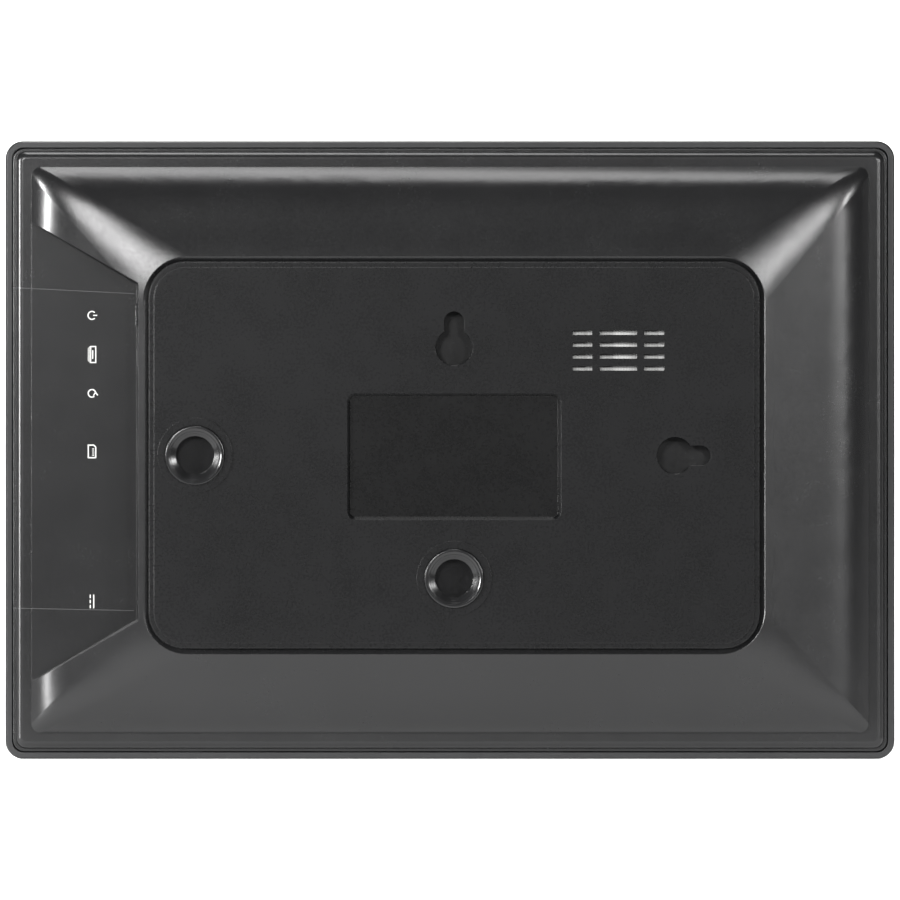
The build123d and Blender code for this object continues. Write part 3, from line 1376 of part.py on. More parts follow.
lead_y = pcb_top_y + speaker_socket_height / 2
lead_start_x = speaker_at[0] + magnet_length / 2
lead_end_x = plug_x - speaker_plug_size[0] + plug_insert
with BuildPart() as speaker_leads:
    for offset_z in (-lead_spacing, lead_spacing):
        bend_z = speaker_at[1] - lead_bend[2] + offset_z
        with BuildLine():
            Spline(
                (lead_start_x, basket_y[0] - magnet_depth / 2, speaker_at[1] + offset_z),
                (lead_start_x + lead_bend[0], tray_back_y + lead_bend[1], bend_z),
                (lead_end_x - lead_run, lead_y, plug_z + offset_z),
                (lead_end_x, lead_y, plug_z + offset_z),
                tangents=[(1, 0, 0), (1, 0, 0)],
            )
        with BuildSketch(Plane.YZ.offset(lead_start_x)):
            with Locations((basket_y[0] - magnet_depth / 2, speaker_at[1] + offset_z)):
                Circle(lead_radius)
        sweep()
speaker_leads.part.label = "speaker_leads"
export_step(speaker_leads.part, "parts/speaker_leads.step")

aerial_at = (pcb_x - aerial_offset[0], plate_top_z - aerial_offset[1])
with BuildPart() as wifi_aerial:
    aerial_x = (aerial_at[0] - aerial_size[0] / 2, aerial_at[0] + aerial_size[0] / 2)
    aerial_z = (aerial_at[1] - aerial_size[1] / 2, aerial_at[1] + aerial_size[1] / 2)
    add(slab(aerial_x, (ceiling_y - aerial_thickness, ceiling_y), aerial_z))
wifi_aerial.part.label = "wifi_aerial"
export_step(wifi_aerial.part, "parts/wifi_aerial.step")

with BuildPart() as aerial_lead:
    coax_start = (wifi_at[0], pcb_top_y + wifi_board + wifi_lid + coax_radius, wifi_at[1] + coax_inset)
    coax_mid = (coax_start[0], coax_start[1] + coax_lift, coax_start[2] + coax_run)
    coax_end = (
        aerial_x[0] + 2 * coax_inset,
        ceiling_y - aerial_thickness - coax_radius,
        aerial_at[1] - coax_inset / 2,
    )
    with BuildLine():
        Spline(
            coax_start,
            coax_mid,
            coax_end,
            tangents=[(0, 0, 1), (0, 0, 1)],
        )
    with BuildSketch(Plane.XY.offset(coax_start[2])):
        with Locations((coax_start[0], coax_start[1])):
            Circle(coax_radius)
    sweep()
aerial_lead.part.label = "aerial_lead"
export_step(aerial_lead.part, "parts/aerial_lead.step")
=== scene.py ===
"""Digital photo frame: finishes, threaded sockets, port pictograms, studio and camera."""
import json
from math import cos, pi, radians, sin

import bpy
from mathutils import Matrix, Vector


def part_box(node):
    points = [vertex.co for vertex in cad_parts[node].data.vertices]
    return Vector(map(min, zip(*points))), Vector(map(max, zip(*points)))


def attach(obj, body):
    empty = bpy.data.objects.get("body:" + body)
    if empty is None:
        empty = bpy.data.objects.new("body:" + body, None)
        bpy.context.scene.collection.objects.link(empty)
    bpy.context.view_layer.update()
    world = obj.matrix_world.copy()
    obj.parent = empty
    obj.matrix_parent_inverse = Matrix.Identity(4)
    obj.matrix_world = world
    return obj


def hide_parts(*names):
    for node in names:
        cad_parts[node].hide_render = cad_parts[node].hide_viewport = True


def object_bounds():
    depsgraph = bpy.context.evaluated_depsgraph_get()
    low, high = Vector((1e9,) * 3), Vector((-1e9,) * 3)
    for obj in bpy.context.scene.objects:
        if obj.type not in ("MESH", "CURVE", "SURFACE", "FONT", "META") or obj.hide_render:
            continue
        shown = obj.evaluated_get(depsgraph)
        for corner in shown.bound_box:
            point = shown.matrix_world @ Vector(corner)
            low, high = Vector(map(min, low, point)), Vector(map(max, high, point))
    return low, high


bl_info = {
    "name": "Digital Photo Frame",
    "version": (1, 0, 0),
    "blender": (4, 5, 0),
    "location": "View3D > Sidebar > Photo Frame",
    "description": "Builds the finishes, small details and studio of a digital photo frame",
    "category": "Object",
}

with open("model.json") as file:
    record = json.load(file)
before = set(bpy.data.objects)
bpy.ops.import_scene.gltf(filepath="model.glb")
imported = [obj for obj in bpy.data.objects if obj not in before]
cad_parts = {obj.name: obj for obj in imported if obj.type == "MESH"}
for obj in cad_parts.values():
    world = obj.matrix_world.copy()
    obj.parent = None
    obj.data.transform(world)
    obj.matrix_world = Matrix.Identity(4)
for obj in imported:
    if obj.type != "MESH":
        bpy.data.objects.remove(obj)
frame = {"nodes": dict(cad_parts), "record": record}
cad_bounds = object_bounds()
nodes = frame["nodes"]
MM = 0.001


def extent(node):
    """Lowest corner, highest corner and middle of a node."""
    low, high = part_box(node)
    return low, high, (low + high) / 2


bezel_low, bezel_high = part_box("front_bezel")
plate_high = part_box("rear_plate")[1]
frame_width = bezel_high.x - bezel_low.x
bay = next(o for o in frame["record"]["physics"]["openings"] if o["name"] == "connector_bay")
bay_low, bay_high = (Vector(corner) for corner in bay["box_m"])
BAY_CLEARANCE = 0.5 * MM
SEAM_WIDTH = 0.15 * MM
# Depth below which the plate's recesses are darkened as painted shade
PAINTED_SHADE_DEPTH = 1.0 * MM
bay_floor_y = bay_low.y - BAY_CLEARANCE


# ---------------------------------------------------------------------------
# Settings
# ---------------------------------------------------------------------------
class PlasticSettings(bpy.types.PropertyGroup):
    """Finish of the black mouldings"""

    base: bpy.props.FloatVectorProperty(
        name="Base", description="Colour of the black moulding", subtype="COLOR", size=3,
        default=(0.0095, 0.0096, 0.0101), min=0.0, max=1.0,
    )
    worn: bpy.props.FloatVectorProperty(
        name="Rubbed", description="Colour where edges are rubbed", subtype="COLOR", size=3,
        default=(0.05, 0.05, 0.052), min=0.0, max=1.0,
    )
    roughness: bpy.props.FloatProperty(
        name="Roughness", description="Mean roughness of the moulded grain", default=0.25,
        min=0.0, max=1.0,
    )
    grain: bpy.props.FloatProperty(
        name="Grain", description="Size of one grain of the moulded texture", default=0.7 * MM,
        unit="LENGTH", precision=5,
    )
    grain_depth: bpy.props.FloatProperty(
        name="Grain depth", description="Depth of the moulded texture", default=0.004 * MM,
        unit="LENGTH", precision=6,
    )
    edge_round: bpy.props.FloatProperty(
        name="Edge rounding", description="Radius that softens every moulded edge",
        default=0.22 * MM, unit="LENGTH", precision=5,
    )


class SocketSettings(bpy.types.PropertyGroup):
    """Threaded stand sockets"""

    pitch: bpy.props.FloatProperty(
        name="Thread pitch", description="Distance from one thread to the next", default=1.3 * MM,
        unit="LENGTH", precision=5,
    )
    depth: bpy.props.FloatProperty(
        name="Thread depth", description="Depth of the thread's groove", default=0.6 * MM,
        unit="LENGTH", precision=5,
    )
    mouth: bpy.props.FloatProperty(
        name="Mouth", description="How much wider the mouth is than the bore", default=1.8 * MM,
        unit="LENGTH", precision=5,
    )
    segments: bpy.props.IntProperty(
        name="Segments", description="Steps round the socket", default=120, min=24, max=256,
    )


class MarkSettings(bpy.types.PropertyGroup):
    """Printed pictograms beside the connectors"""

    ink: bpy.props.FloatVectorProperty(
        name="Ink", description="Colour of the printed marks", subtype="COLOR", size=3,
        default=(0.62, 0.62, 0.6), min=0.0, max=1.0,
    )
    height: bpy.props.FloatProperty(
        name="Height", description="Height of a pictogram", default=2.5 * MM, unit="LENGTH",
        precision=5,
    )
    line: bpy.props.FloatProperty(
        name="Line", description="Width of a printed line", default=0.34 * MM, unit="LENGTH",
        precision=5,
    )
    film: bpy.props.FloatProperty(
        name="Film", description="Thickness of the ink", default=0.04 * MM, unit="LENGTH",
        precision=6,
    )
    reach: bpy.props.FloatProperty(
        name="Reach", description="Distance from the wall of the bay to the pictograms",
        default=12.1 * MM, unit="LENGTH", precision=5,
    )


class StageSettings(bpy.types.PropertyGroup):
    """Studio, lights and camera"""

    floor: bpy.props.FloatVectorProperty(
        name="Floor", description="Colour of the floor and the backdrop", subtype="COLOR", size=3,
        default=(0.9, 0.9, 0.9), min=0.0, max=1.0,
    )
    distance: bpy.props.FloatProperty(
        name="Camera distance", description="Camera to the middle of the frame", default=6.0,
        unit="LENGTH",
    )
    margin: bpy.props.FloatProperty(
        name="View width", description="Width of the view over the width of the frame",
        default=1.0124,
    )
    key_power: bpy.props.FloatProperty(
        name="Key", description="Power of the softbox at the upper left, seen from behind", default=10.0,
        unit="POWER",
    )
    side_power: bpy.props.FloatProperty(
        name="Side", description="Power of the softboxes at the right, seen from behind", default=5.0,
        unit="POWER",
    )
    rim_power: bpy.props.FloatProperty(
        name="Rim", description="Power of the strip light at the left, seen from behind", default=28.0,
        unit="POWER",
    )
    top_power: bpy.props.FloatProperty(
        name="Overhead", description="Power of the softbox overhead", default=9.0, unit="POWER",
    )
    glow: bpy.props.FloatProperty(
        name="Glow", description="Light that the floor gives off under the frame", default=0.6,
    )
    ambient: bpy.props.FloatProperty(
        name="Ambient", description="Strength of the even light of the room", default=0.12,
    )


# ---------------------------------------------------------------------------
# Shader node groups
# ---------------------------------------------------------------------------
def new_group(name, inputs, outputs):
    """Empty shader group with float inputs (name, default) and outputs (name, type)."""
    tree = bpy.data.node_groups.new(name, "ShaderNodeTree")
    for label, value in inputs:
        socket = tree.interface.new_socket(name=label, in_out="INPUT", socket_type="NodeSocketFloat")
        socket.default_value = value
    for label, kind in outputs:
        tree.interface.new_socket(name=label, in_out="OUTPUT", socket_type=kind)
    return tree, tree.nodes.new("NodeGroupInput"), tree.nodes.new("NodeGroupOutput")


def math(tree, operation, first, second=None, clamp=False):
    """Math node fed by sockets or plain numbers; returns its output."""
    node = tree.nodes.new("ShaderNodeMath")
    node.operation = operation
    node.use_clamp = clamp
    for index, value in enumerate((first, second)):
        if value is None:
            continue
        if isinstance(value, (int, float)):
            node.inputs[index].default_value = value
        else:
            tree.links.new(value, node.inputs[index])
    return node.outputs[0]


def span(tree, value, low, high, to_low, to_high):
    """Map Range node from one range to another; returns its output."""
    node = tree.nodes.new("ShaderNodeMapRange")
    tree.links.new(value, node.inputs["Value"])
    for label, number in (("From Min", low), ("From Max", high), ("To Min", to_low), ("To Max", to_high)):
        node.inputs[label].default_value = number
    return node.outputs["Result"]


def object_place(tree):
    """Object coordinates of the surface."""
    return tree.nodes.new("ShaderNodeTexCoord").outputs["Object"]


def object_axes(tree):
    """Object coordinates of the surface, one output for each axis."""
    axes = tree.nodes.new("ShaderNodeSeparateXYZ")
    tree.links.new(object_place(tree), axes.inputs[0])
    return axes.outputs


def noise(tree, place, scale, detail=3.0, roughness=0.5):
    """Noise texture at a scale that is a number or a socket; returns its value."""
    node = tree.nodes.new("ShaderNodeTexNoise")
    tree.links.new(place, node.inputs["Vector"])
    if isinstance(scale, (int, float)):
        node.inputs["Scale"].default_value = scale
    else:
        tree.links.new(scale, node.inputs["Scale"])
    node.inputs["Detail"].default_value = detail
    node.inputs["Roughness"].default_value = roughness
    return node.outputs["Fac"]


def grain_group():
    """Spark-eroded mould grain: a fine height with slow changes of shade and roughness."""
    tree, inputs, outputs = new_group(
        "moulded grain",
        (("Frequency", 2400.0), ("Roughness", 0.45)),
        (("Height", "NodeSocketFloat"), ("Shade", "NodeSocketFloat"), ("Roughness", "NodeSocketFloat")),
    )
    place = object_place(tree)
    fine = noise(tree, place, inputs.outputs["Frequency"], 2.0, 0.6)
    pits = tree.nodes.new("ShaderNodeTexVoronoi")
    tree.links.new(place, pits.inputs["Vector"])
    tree.links.new(math(tree, "MULTIPLY", inputs.outputs["Frequency"], 1.35), pits.inputs["Scale"])
    pitting = math(tree, "MULTIPLY", pits.outputs["Distance"], 0.5)
    height = math(tree, "ADD", math(tree, "MULTIPLY", fine, 0.6), pitting)
    slow = noise(tree, place, 22.0, 4.0, 0.55)
    cloudy = noise(tree, place, 90.0, 3.0, 0.6)
    shade = span(tree, math(tree, "ADD", slow, math(tree, "MULTIPLY", fine, 0.5)), 0.45, 1.05, 0.8, 1.22)
    broad_change = span(tree, cloudy, 0.3, 0.7, -0.012, 0.012)
    fine_change = span(tree, fine, 0.3, 0.7, -0.02, 0.02)
    change = math(tree, "ADD", broad_change, fine_change)
    rough = math(tree, "ADD", inputs.outputs["Roughness"], change)
    tree.links.new(height, outputs.inputs["Height"])
    tree.links.new(shade, outputs.inputs["Shade"])
    tree.links.new(rough, outputs.inputs["Roughness"])
    return tree


def edge_group():
    """Mask of rubbed edges: where a rounded edge's normal leaves the flat one, broken up by noise."""
    tree, inputs, outputs = new_group(
        "rubbed edge", (("Radius", 0.0003),), (("Mask", "NodeSocketFloat"), ("Normal", "NodeSocketVector")),
    )
    bevel = tree.nodes.new("ShaderNodeBevel")
    bevel.samples = 4
    tree.links.new(inputs.outputs["Radius"], bevel.inputs["Radius"])
    surface = tree.nodes.new("ShaderNodeNewGeometry")
    align = tree.nodes.new("ShaderNodeVectorMath")
    align.operation = "DOT_PRODUCT"
    tree.links.new(bevel.outputs["Normal"], align.inputs[0])
    tree.links.new(surface.outputs["Normal"], align.inputs[1])
    turned = span(tree, align.outputs["Value"], 0.97, 0.75, 0.0, 1.0)
    broken = span(tree, noise(tree, object_place(tree), 700.0, 3.0, 0.65), 0.35, 0.7, 0.25, 1.0)
    tree.links.new(math(tree, "MULTIPLY", turned, broken, clamp=True), outputs.inputs["Mask"])
    tree.links.new(bevel.outputs["Normal"], outputs.inputs["Normal"])
    return tree


def metal_group():
    """Rolled or plated metal: streaks along Z with a little tarnish."""
    tree, inputs, outputs = new_group(
        "plated metal", (("Roughness", 0.3),),
        (("Height", "NodeSocketFloat"), ("Shade", "NodeSocketFloat"), ("Roughness", "NodeSocketFloat")),
    )
    stretch = tree.nodes.new("ShaderNodeMapping")
    stretch.inputs["Scale"].default_value = (9000.0, 9000.0, 400.0)
    tree.links.new(object_place(tree), stretch.inputs["Vector"])
    streaks = noise(tree, stretch.outputs["Vector"], 1.0, 2.0, 0.6)
    tarnish = noise(tree, object_place(tree), 160.0, 4.0, 0.6)
    tree.links.new(streaks, outputs.inputs["Height"])
    tree.links.new(span(tree, tarnish, 0.3, 0.75, 1.08, 0.78), outputs.inputs["Shade"])
    tree.links.new(
        math(tree, "ADD", inputs.outputs["Roughness"], span(tree, streaks, 0.3, 0.7, -0.06, 0.08)),
        outputs.inputs["Roughness"],
    )
    return tree


groups = {}


def group_node(tree, name, builder, **values):
    """Places a shared group in a material's tree, building it on first use."""
    if name not in groups:
        groups[name] = builder()
    node = tree.nodes.new("ShaderNodeGroup")
    node.node_tree = groups[name]
    for label, value in values.items():
        node.inputs[label].default_value = value
    return node


# ---------------------------------------------------------------------------
# Materials
# ---------------------------------------------------------------------------
def new_material(name):
    """Material with its shader, ready for links."""
    material = bpy.data.materials.new(name)
    material.use_nodes = True
    return material, material.node_tree, material.node_tree.nodes["Principled BSDF"]


def blend_colors(tree, amount, first, second):
    """Colour mix by a socket between colours or sockets; returns its output."""
    node = tree.nodes.new("ShaderNodeMix")
    node.data_type = "RGBA"
    tree.links.new(amount, node.inputs["Factor"])
    for index, value in ((6, first), (7, second)):
        if isinstance(value, tuple):
            node.inputs[index].default_value = (*value[:3], 1.0)
        else:
            tree.links.new(value, node.inputs[index])
    return node.outputs[2]


def tinted(tree, shade, color):
    """Colour brightened or darkened by a shade value round one."""
    node = tree.nodes.new("ShaderNodeVectorMath")
    node.operation = "SCALE"
    node.inputs[0].default_value = tuple(color)[:3]
    tree.links.new(shade, node.inputs["Scale"])
    return node.outputs[0]


def bump(tree, height, distance, normal=None):
    """Bump node of a given depth in metres; returns its normal."""
    node = tree.nodes.new("ShaderNodeBump")
    node.inputs["Distance"].default_value = distance
    tree.links.new(height, node.inputs["Height"])
    if normal is not None:
        tree.links.new(normal, node.inputs["Normal"])
    return node.outputs["Normal"]


def moulded_plastic(
    name, lightness=1.0, roughness_shift=0.0, marking_or_shade=None, mark_or_shade_color=(0.14, 0.14, 0.14), gloss=0.5,
):
    """Black moulded plastic with grain, softened edges and an optional mask of another colour, used for a
    marking or for painted shade.
    """
    settings = bpy.context.scene.frame_plastic
    material, tree, shader = new_material(name)
    grain = group_node(
        tree, "moulded grain", grain_group,
        Frequency=1.0 / settings.grain, Roughness=settings.roughness + roughness_shift,
    )
    edge = group_node(tree, "rubbed edge", edge_group, Radius=settings.edge_round)
    base = tuple(channel * lightness for channel in settings.base)
    color = tinted(tree, grain.outputs["Shade"], base)
    worn = math(tree, "MULTIPLY", edge.outputs["Mask"], 0.2)
    color = blend_colors(tree, worn, color, tuple(settings.worn))
    if marking_or_shade:
        color = blend_colors(tree, marking_or_shade(tree), color, mark_or_shade_color)
    shader.inputs["Specular IOR Level"].default_value = gloss
    tree.links.new(color, shader.inputs["Base Color"])
    tree.links.new(grain.outputs["Roughness"], shader.inputs["Roughness"])
    normal = bump(tree, grain.outputs["Height"], settings.grain_depth, edge.outputs["Normal"])
    tree.links.new(normal, shader.inputs["Normal"])
    return material


def smooth_plastic(name, color, roughness=0.35):
    """Plain moulded part: small specks of shade and a faint flow pattern."""
    material, tree, shader = new_material(name)
    grain = group_node(tree, "moulded grain", grain_group, Frequency=3500.0, Roughness=roughness)
    tree.links.new(tinted(tree, grain.outputs["Shade"], color), shader.inputs["Base Color"])
    tree.links.new(grain.outputs["Roughness"], shader.inputs["Roughness"])
    tree.links.new(bump(tree, grain.outputs["Height"], 0.004 * MM), shader.inputs["Normal"])
    return material


def plated_metal(name, color, roughness=0.3):
    """Metal sheet or turned part."""
    material, tree, shader = new_material(name)
    metal = group_node(tree, "plated metal", metal_group, Roughness=roughness)
    shader.inputs["Metallic"].default_value = 1.0
    tree.links.new(tinted(tree, metal.outputs["Shade"], color), shader.inputs["Base Color"])
    tree.links.new(metal.outputs["Roughness"], shader.inputs["Roughness"])
    tree.links.new(bump(tree, metal.outputs["Height"], 0.002 * MM), shader.inputs["Normal"])
    return material


def screen_glass(name, color, roughness):
    """Dark glass of the switched-off screen, with faint smears."""
    material, tree, shader = new_material(name)
    place = object_place(tree)
    smear = noise(tree, place, 14.0, 5.0, 0.62)
    tree.links.new(span(tree, smear, 0.35, 0.75, roughness, roughness + 0.07), shader.inputs["Roughness"])
    tree.links.new(tinted(tree, span(tree, smear, 0.3, 0.7, 0.9, 1.15), color), shader.inputs["Base Color"])
    shader.inputs["Coat Weight"].default_value = 0.6
    shader.inputs["Coat Roughness"].default_value = 0.03
    return material


def woven_mesh(name, color, pitch):
    """Fine woven cloth: two crossing waves, darker in the holes."""
    material, tree, shader = new_material(name)
    place = object_place(tree)
    waves = []
    for axis in ("X", "Z"):
        wave = tree.nodes.new("ShaderNodeTexWave")
        wave.bands_direction = axis
        wave.inputs["Scale"].default_value = pi / (10.0 * pitch)
        tree.links.new(place, wave.inputs["Vector"])
        waves.append(wave.outputs["Fac"])
    weave = math(tree, "MAXIMUM", waves[0], waves[1])
    slow = noise(tree, place, 120.0, 3.0, 0.6)
    holes = span(tree, weave, 0.2, 0.95, 0.45, 1.0)
    shade = math(tree, "MULTIPLY", holes, span(tree, slow, 0.3, 0.7, 0.85, 1.1))
    tree.links.new(tinted(tree, shade, color), shader.inputs["Base Color"])
    shader.inputs["Roughness"].default_value = 0.7
    tree.links.new(bump(tree, weave, 0.03 * MM), shader.inputs["Normal"])
    return material


def printed_board(name, color):
    """Solder mask over copper runs, with its fine traces as a height."""
    material, tree, shader = new_material(name)
    place = object_place(tree)
    stretch = tree.nodes.new("ShaderNodeMapping")
    stretch.inputs["Rotation"].default_value = (radians(90), 0.0, 0.0)
    tree.links.new(place, stretch.inputs["Vector"])
    runs = tree.nodes.new("ShaderNodeTexBrick")
    runs.inputs["Scale"].default_value = 160.0
    runs.inputs["Mortar Size"].default_value = 0.03
    tree.links.new(stretch.outputs["Vector"], runs.inputs["Vector"])
    cloud = noise(tree, place, 60.0, 3.0, 0.5)
    bright = tuple(min(1.0, channel * 1.9) for channel in color)
    mask = tinted(tree, span(tree, cloud, 0.3, 0.7, 0.8, 1.2), color)
    mixed = blend_colors(tree, runs.outputs["Fac"], mask, bright)
    tree.links.new(mixed, shader.inputs["Base Color"])
    tree.links.new(span(tree, cloud, 0.3, 0.7, 0.25, 0.38), shader.inputs["Roughness"])
    tree.links.new(bump(tree, runs.outputs["Fac"], 0.03 * MM), shader.inputs["Normal"])
    return material


def clear_acrylic(name):
    """Light guide: pale acrylic with its printed dots on the back."""
    material, tree, shader = new_material(name)
    dots = tree.nodes.new("ShaderNodeTexVoronoi")
    dots.inputs["Scale"].default_value = 700.0
    tree.links.new(object_place(tree), dots.inputs["Vector"])
    spots = span(tree, dots.outputs["Distance"], 0.25, 0.3, 1.0, 0.0)
    color = blend_colors(tree, spots, (0.8, 0.84, 0.86), (0.95, 0.95, 0.95))
    tree.links.new(color, shader.inputs["Base Color"])
    tree.links.new(span(tree, spots, 0.0, 1.0, 0.08, 0.5), shader.inputs["Roughness"])
    return material


def matt_film(name, color, roughness=0.6):
    """Foam, tape, film or insulation: an even matt skin with a slight mottle."""
    material, tree, shader = new_material(name)
    cells = noise(tree, object_place(tree), 1800.0, 3.0, 0.7)
    tree.links.new(tinted(tree, span(tree, cells, 0.3, 0.7, 0.85, 1.15), color), shader.inputs["Base Color"])
    rough = span(tree, cells, 0.3, 0.7, roughness - 0.05, roughness + 0.08)
    tree.links.new(rough, shader.inputs["Roughness"])
    tree.links.new(bump(tree, cells, 0.02 * MM), shader.inputs["Normal"])
    return material


def dress(material, *names):
    """Gives CAD nodes a material in their own slots."""
    for name in names:
        for slot in nodes[name].material_slots:
            slot.material = material


# ---------------------------------------------------------------------------
# Modelling helpers
# ---------------------------------------------------------------------------
def start_clean():
    """Object mode with nothing selected."""
    if bpy.context.object and bpy.context.object.mode != "OBJECT":
        bpy.ops.object.mode_set(mode="OBJECT")
    bpy.ops.object.select_all(action="DESELECT")


def settle(name):
    """Names the active object and puts its place and turn in its mesh."""
    piece = bpy.context.object
    bpy.ops.object.transform_apply(location=True, rotation=True, scale=True)
    piece.name = name
    piece.data.name = name
    return piece


def select_faces(piece, test):
    """In edit mode, selects the faces whose middle and normal pass a test."""
    bpy.ops.object.mode_set(mode="OBJECT")
    for vertex in piece.data.vertices:
        vertex.select = False
    for edge in piece.data.edges:
        edge.select = False
    for face in piece.data.polygons:
        face.select = test(face.center, face.normal)
    bpy.ops.object.mode_set(mode="EDIT")


def join_pieces(pieces, name):
    """Joins finished pieces into one object."""
    start_clean()
    for piece in pieces:
        piece.select_set(True)
    bpy.context.view_layer.objects.active = pieces[0]
    if len(pieces) > 1:
        bpy.ops.object.join()
    return settle(name)


def drawn_profile(first, others):
    """One edge chain drawn from a first point through others by extruding."""
    start_clean()
    bpy.ops.mesh.primitive_plane_add(size=0.001, location=first)
    piece = bpy.context.object
    bpy.ops.object.transform_apply(location=True)
    bpy.ops.object.mode_set(mode="EDIT")
    bpy.ops.mesh.select_all(action="SELECT")
    bpy.ops.mesh.merge(type="CENTER")
    here = Vector(first)
    for point in others:
        step = Vector(point) - here
        bpy.ops.mesh.extrude_region_move(TRANSFORM_OT_translate={"value": step})
        here = Vector(point)
    bpy.ops.mesh.select_all(action="SELECT")
    return piece


# ---------------------------------------------------------------------------
# Mouldings
# ---------------------------------------------------------------------------
def seam_lines(tree):
    """Mask of the two faint witness lines that a mould slide leaves beside the bay."""
    axes = object_axes(tree)
    inset = 0.6 * MM
    masks = []
    for height, slope in ((bay_high.z - inset, 0.05), (bay_low.z + inset, 0.02)):
        run = math(tree, "MULTIPLY", math(tree, "SUBTRACT", axes["X"], bay_low.x), slope)
        line = math(tree, "ADD", run, height)
        off = math(tree, "ABSOLUTE", math(tree, "SUBTRACT", axes["Z"], line))
        masks.append(span(tree, off, 0.0, SEAM_WIDTH, 0.5, 0.0))
    inside = math(tree, "GREATER_THAN", axes["X"], bay_low.x)
    return math(tree, "MULTIPLY", math(tree, "MAXIMUM", masks[0], masks[1]), inside)


class PHOTOFRAME_OT_front_bezel(bpy.types.Operator):
    """Finishes the front bezel"""

    bl_idname = "photoframe.front_bezel"
    bl_label = "Front Bezel"

    def execute(self, context):
        dress(moulded_plastic("bezel black", 1.5, 0.08), "front_bezel")
        return {"FINISHED"}


class PHOTOFRAME_OT_rear_cover(bpy.types.Operator):
    """Finishes the rear cover with its mould witness lines"""

    bl_idname = "photoframe.rear_cover"
    bl_label = "Rear Cover"

    def execute(self, context):
        dress(moulded_plastic("cover black", 0.8, 0.0, seam_lines), "rear_cover")
        return {"FINISHED"}


def recess_painted_shade(tree):
    """Painted shade: a darker mask over all that lies deeper in the plate than a set depth, the label recess
    above all.
    """
    sunk = math(tree, "LESS_THAN", object_axes(tree)["Y"], plate_high.y - PAINTED_SHADE_DEPTH)
    return math(tree, "MULTIPLY", sunk, 0.6)


class PHOTOFRAME_OT_rear_plate(bpy.types.Operator):
    """Finishes the rear plate"""

    bl_idname = "photoframe.rear_plate"
    bl_label = "Rear Plate"

    def execute(self, context):
        # The near-black mask paints shade into the plate's deeper recesses
        plate = moulded_plastic("plate black", 0.7, 0.03, recess_painted_shade, (0.001, 0.001, 0.001), 0.24)
        dress(plate, "rear_plate")
        return {"FINISHED"}


class PHOTOFRAME_OT_stand_sockets(bpy.types.Operator):
    """Turns the two threaded sockets that take the stand rod"""

    bl_idname = "photoframe.stand_sockets"
    bl_label = "Stand Sockets"

    def execute(self, context):
        material = moulded_plastic("socket black", 1.0, -0.06)
        for node in ("stand_socket_bottom", "stand_socket_side"):
            piece = self.turned_socket(context.scene.frame_socket, node)
            piece.data.materials.append(material)
            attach(piece, "body")
            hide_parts(node)
        return {"FINISHED"}

    def turned_socket(self, settings, node):
        """Spins the socket's profile: stem, flange, rounded collar, threaded bore and its floor."""
        low, high, middle = extent(node)
        mount = next(m for m in frame["record"]["mounts"] if m["name"] == node)
        bore = mount["dims"]["r_mm"] * MM
        flange = (high.x - low.x) / 2
        floor_y = mount["pos_m"][1] - mount["dims"]["length_mm"] * MM / 2
        flange_ledge = 1.2 * MM
        collar = flange - flange_ledge
        stem = collar - flange_ledge
        # The flange lies between the cover's seat and the back of the plate
        collar_height = 3.5 * MM
        flange_thickness = 1.4 * MM
        plate_back = high.y - collar_height
        flange_y = plate_back - flange_thickness
        turn = 0.3 * MM
        points = [
            (0.0, low.y), (stem, low.y), (stem, flange_y), (flange, flange_y), (flange, plate_back),
            (collar, plate_back), (collar, high.y - turn),
        ]
        for step in (1, 2, 3):
            angle = step * pi / 6
            points.append((collar - turn * (1 - cos(angle)), high.y - turn * (1 - sin(angle))))
        mouth = bore + settings.mouth
        points += [
            (mouth + 0.35 * MM, high.y),
            (mouth, high.y - 0.22 * MM),
            (mouth - 0.3 * MM, high.y - 0.3 * MM),
        ]
        y = high.y - 0.3 * MM
        lead = mouth - 0.4 * MM - bore
        while y > floor_y + settings.pitch:
            crest = bore + max(0.0, lead)
            points += [
                (crest, y - 0.15 * settings.pitch),
                (crest, y - 0.3 * settings.pitch),
                (crest + settings.depth, y - 0.6 * settings.pitch),
                (crest + settings.depth, y - 0.7 * settings.pitch),
            ]
            lead -= 0.7 * MM
            y -= settings.pitch
        points += [(bore, floor_y + 0.3 * MM), (bore, floor_y), (0.0, floor_y)]
        chain = [(middle.x + radius, depth, middle.z) for radius, depth in points]
        drawn_profile(chain[0], chain[1:])
        bpy.ops.mesh.spin(
            steps=settings.segments, angle=2 * pi, center=(middle.x, 0.0, middle.z), axis=(0.0, 1.0, 0.0),
        )
        bpy.ops.mesh.select_all(action="SELECT")
        bpy.ops.mesh.remove_doubles(threshold=0.002 * MM)
        bpy.ops.mesh.normals_make_consistent(inside=False)
        bpy.ops.object.mode_set(mode="OBJECT")
        bpy.ops.object.shade_smooth_by_angle(angle=radians(32))
        return settle(f"threaded_{node}")


# ---------------------------------------------------------------------------
# Pictograms on the floor of the bay
# ---------------------------------------------------------------------------
def ink_bar(center, size, film, turn=0.0):
    """Printed bar with softened corners; center and size run along X and Z."""
    start_clean()
    bpy.ops.mesh.primitive_cube_add(size=1.0, location=(center[0], bay_floor_y + film / 2, center[1]))
    bar = bpy.context.object
    bar.scale = (size[0], film, size[1])
    bar.rotation_euler.y = turn
    bpy.ops.object.transform_apply(location=True, rotation=True, scale=True)
    bpy.ops.object.modifier_add(type="BEVEL")
    bar.modifiers[-1].width = min(size) * 0.3
    bar.modifiers[-1].segments = 2
    bar.modifiers[-1].limit_method = "ANGLE"
    bpy.ops.object.modifier_apply(modifier=bar.modifiers[-1].name)
    return bar


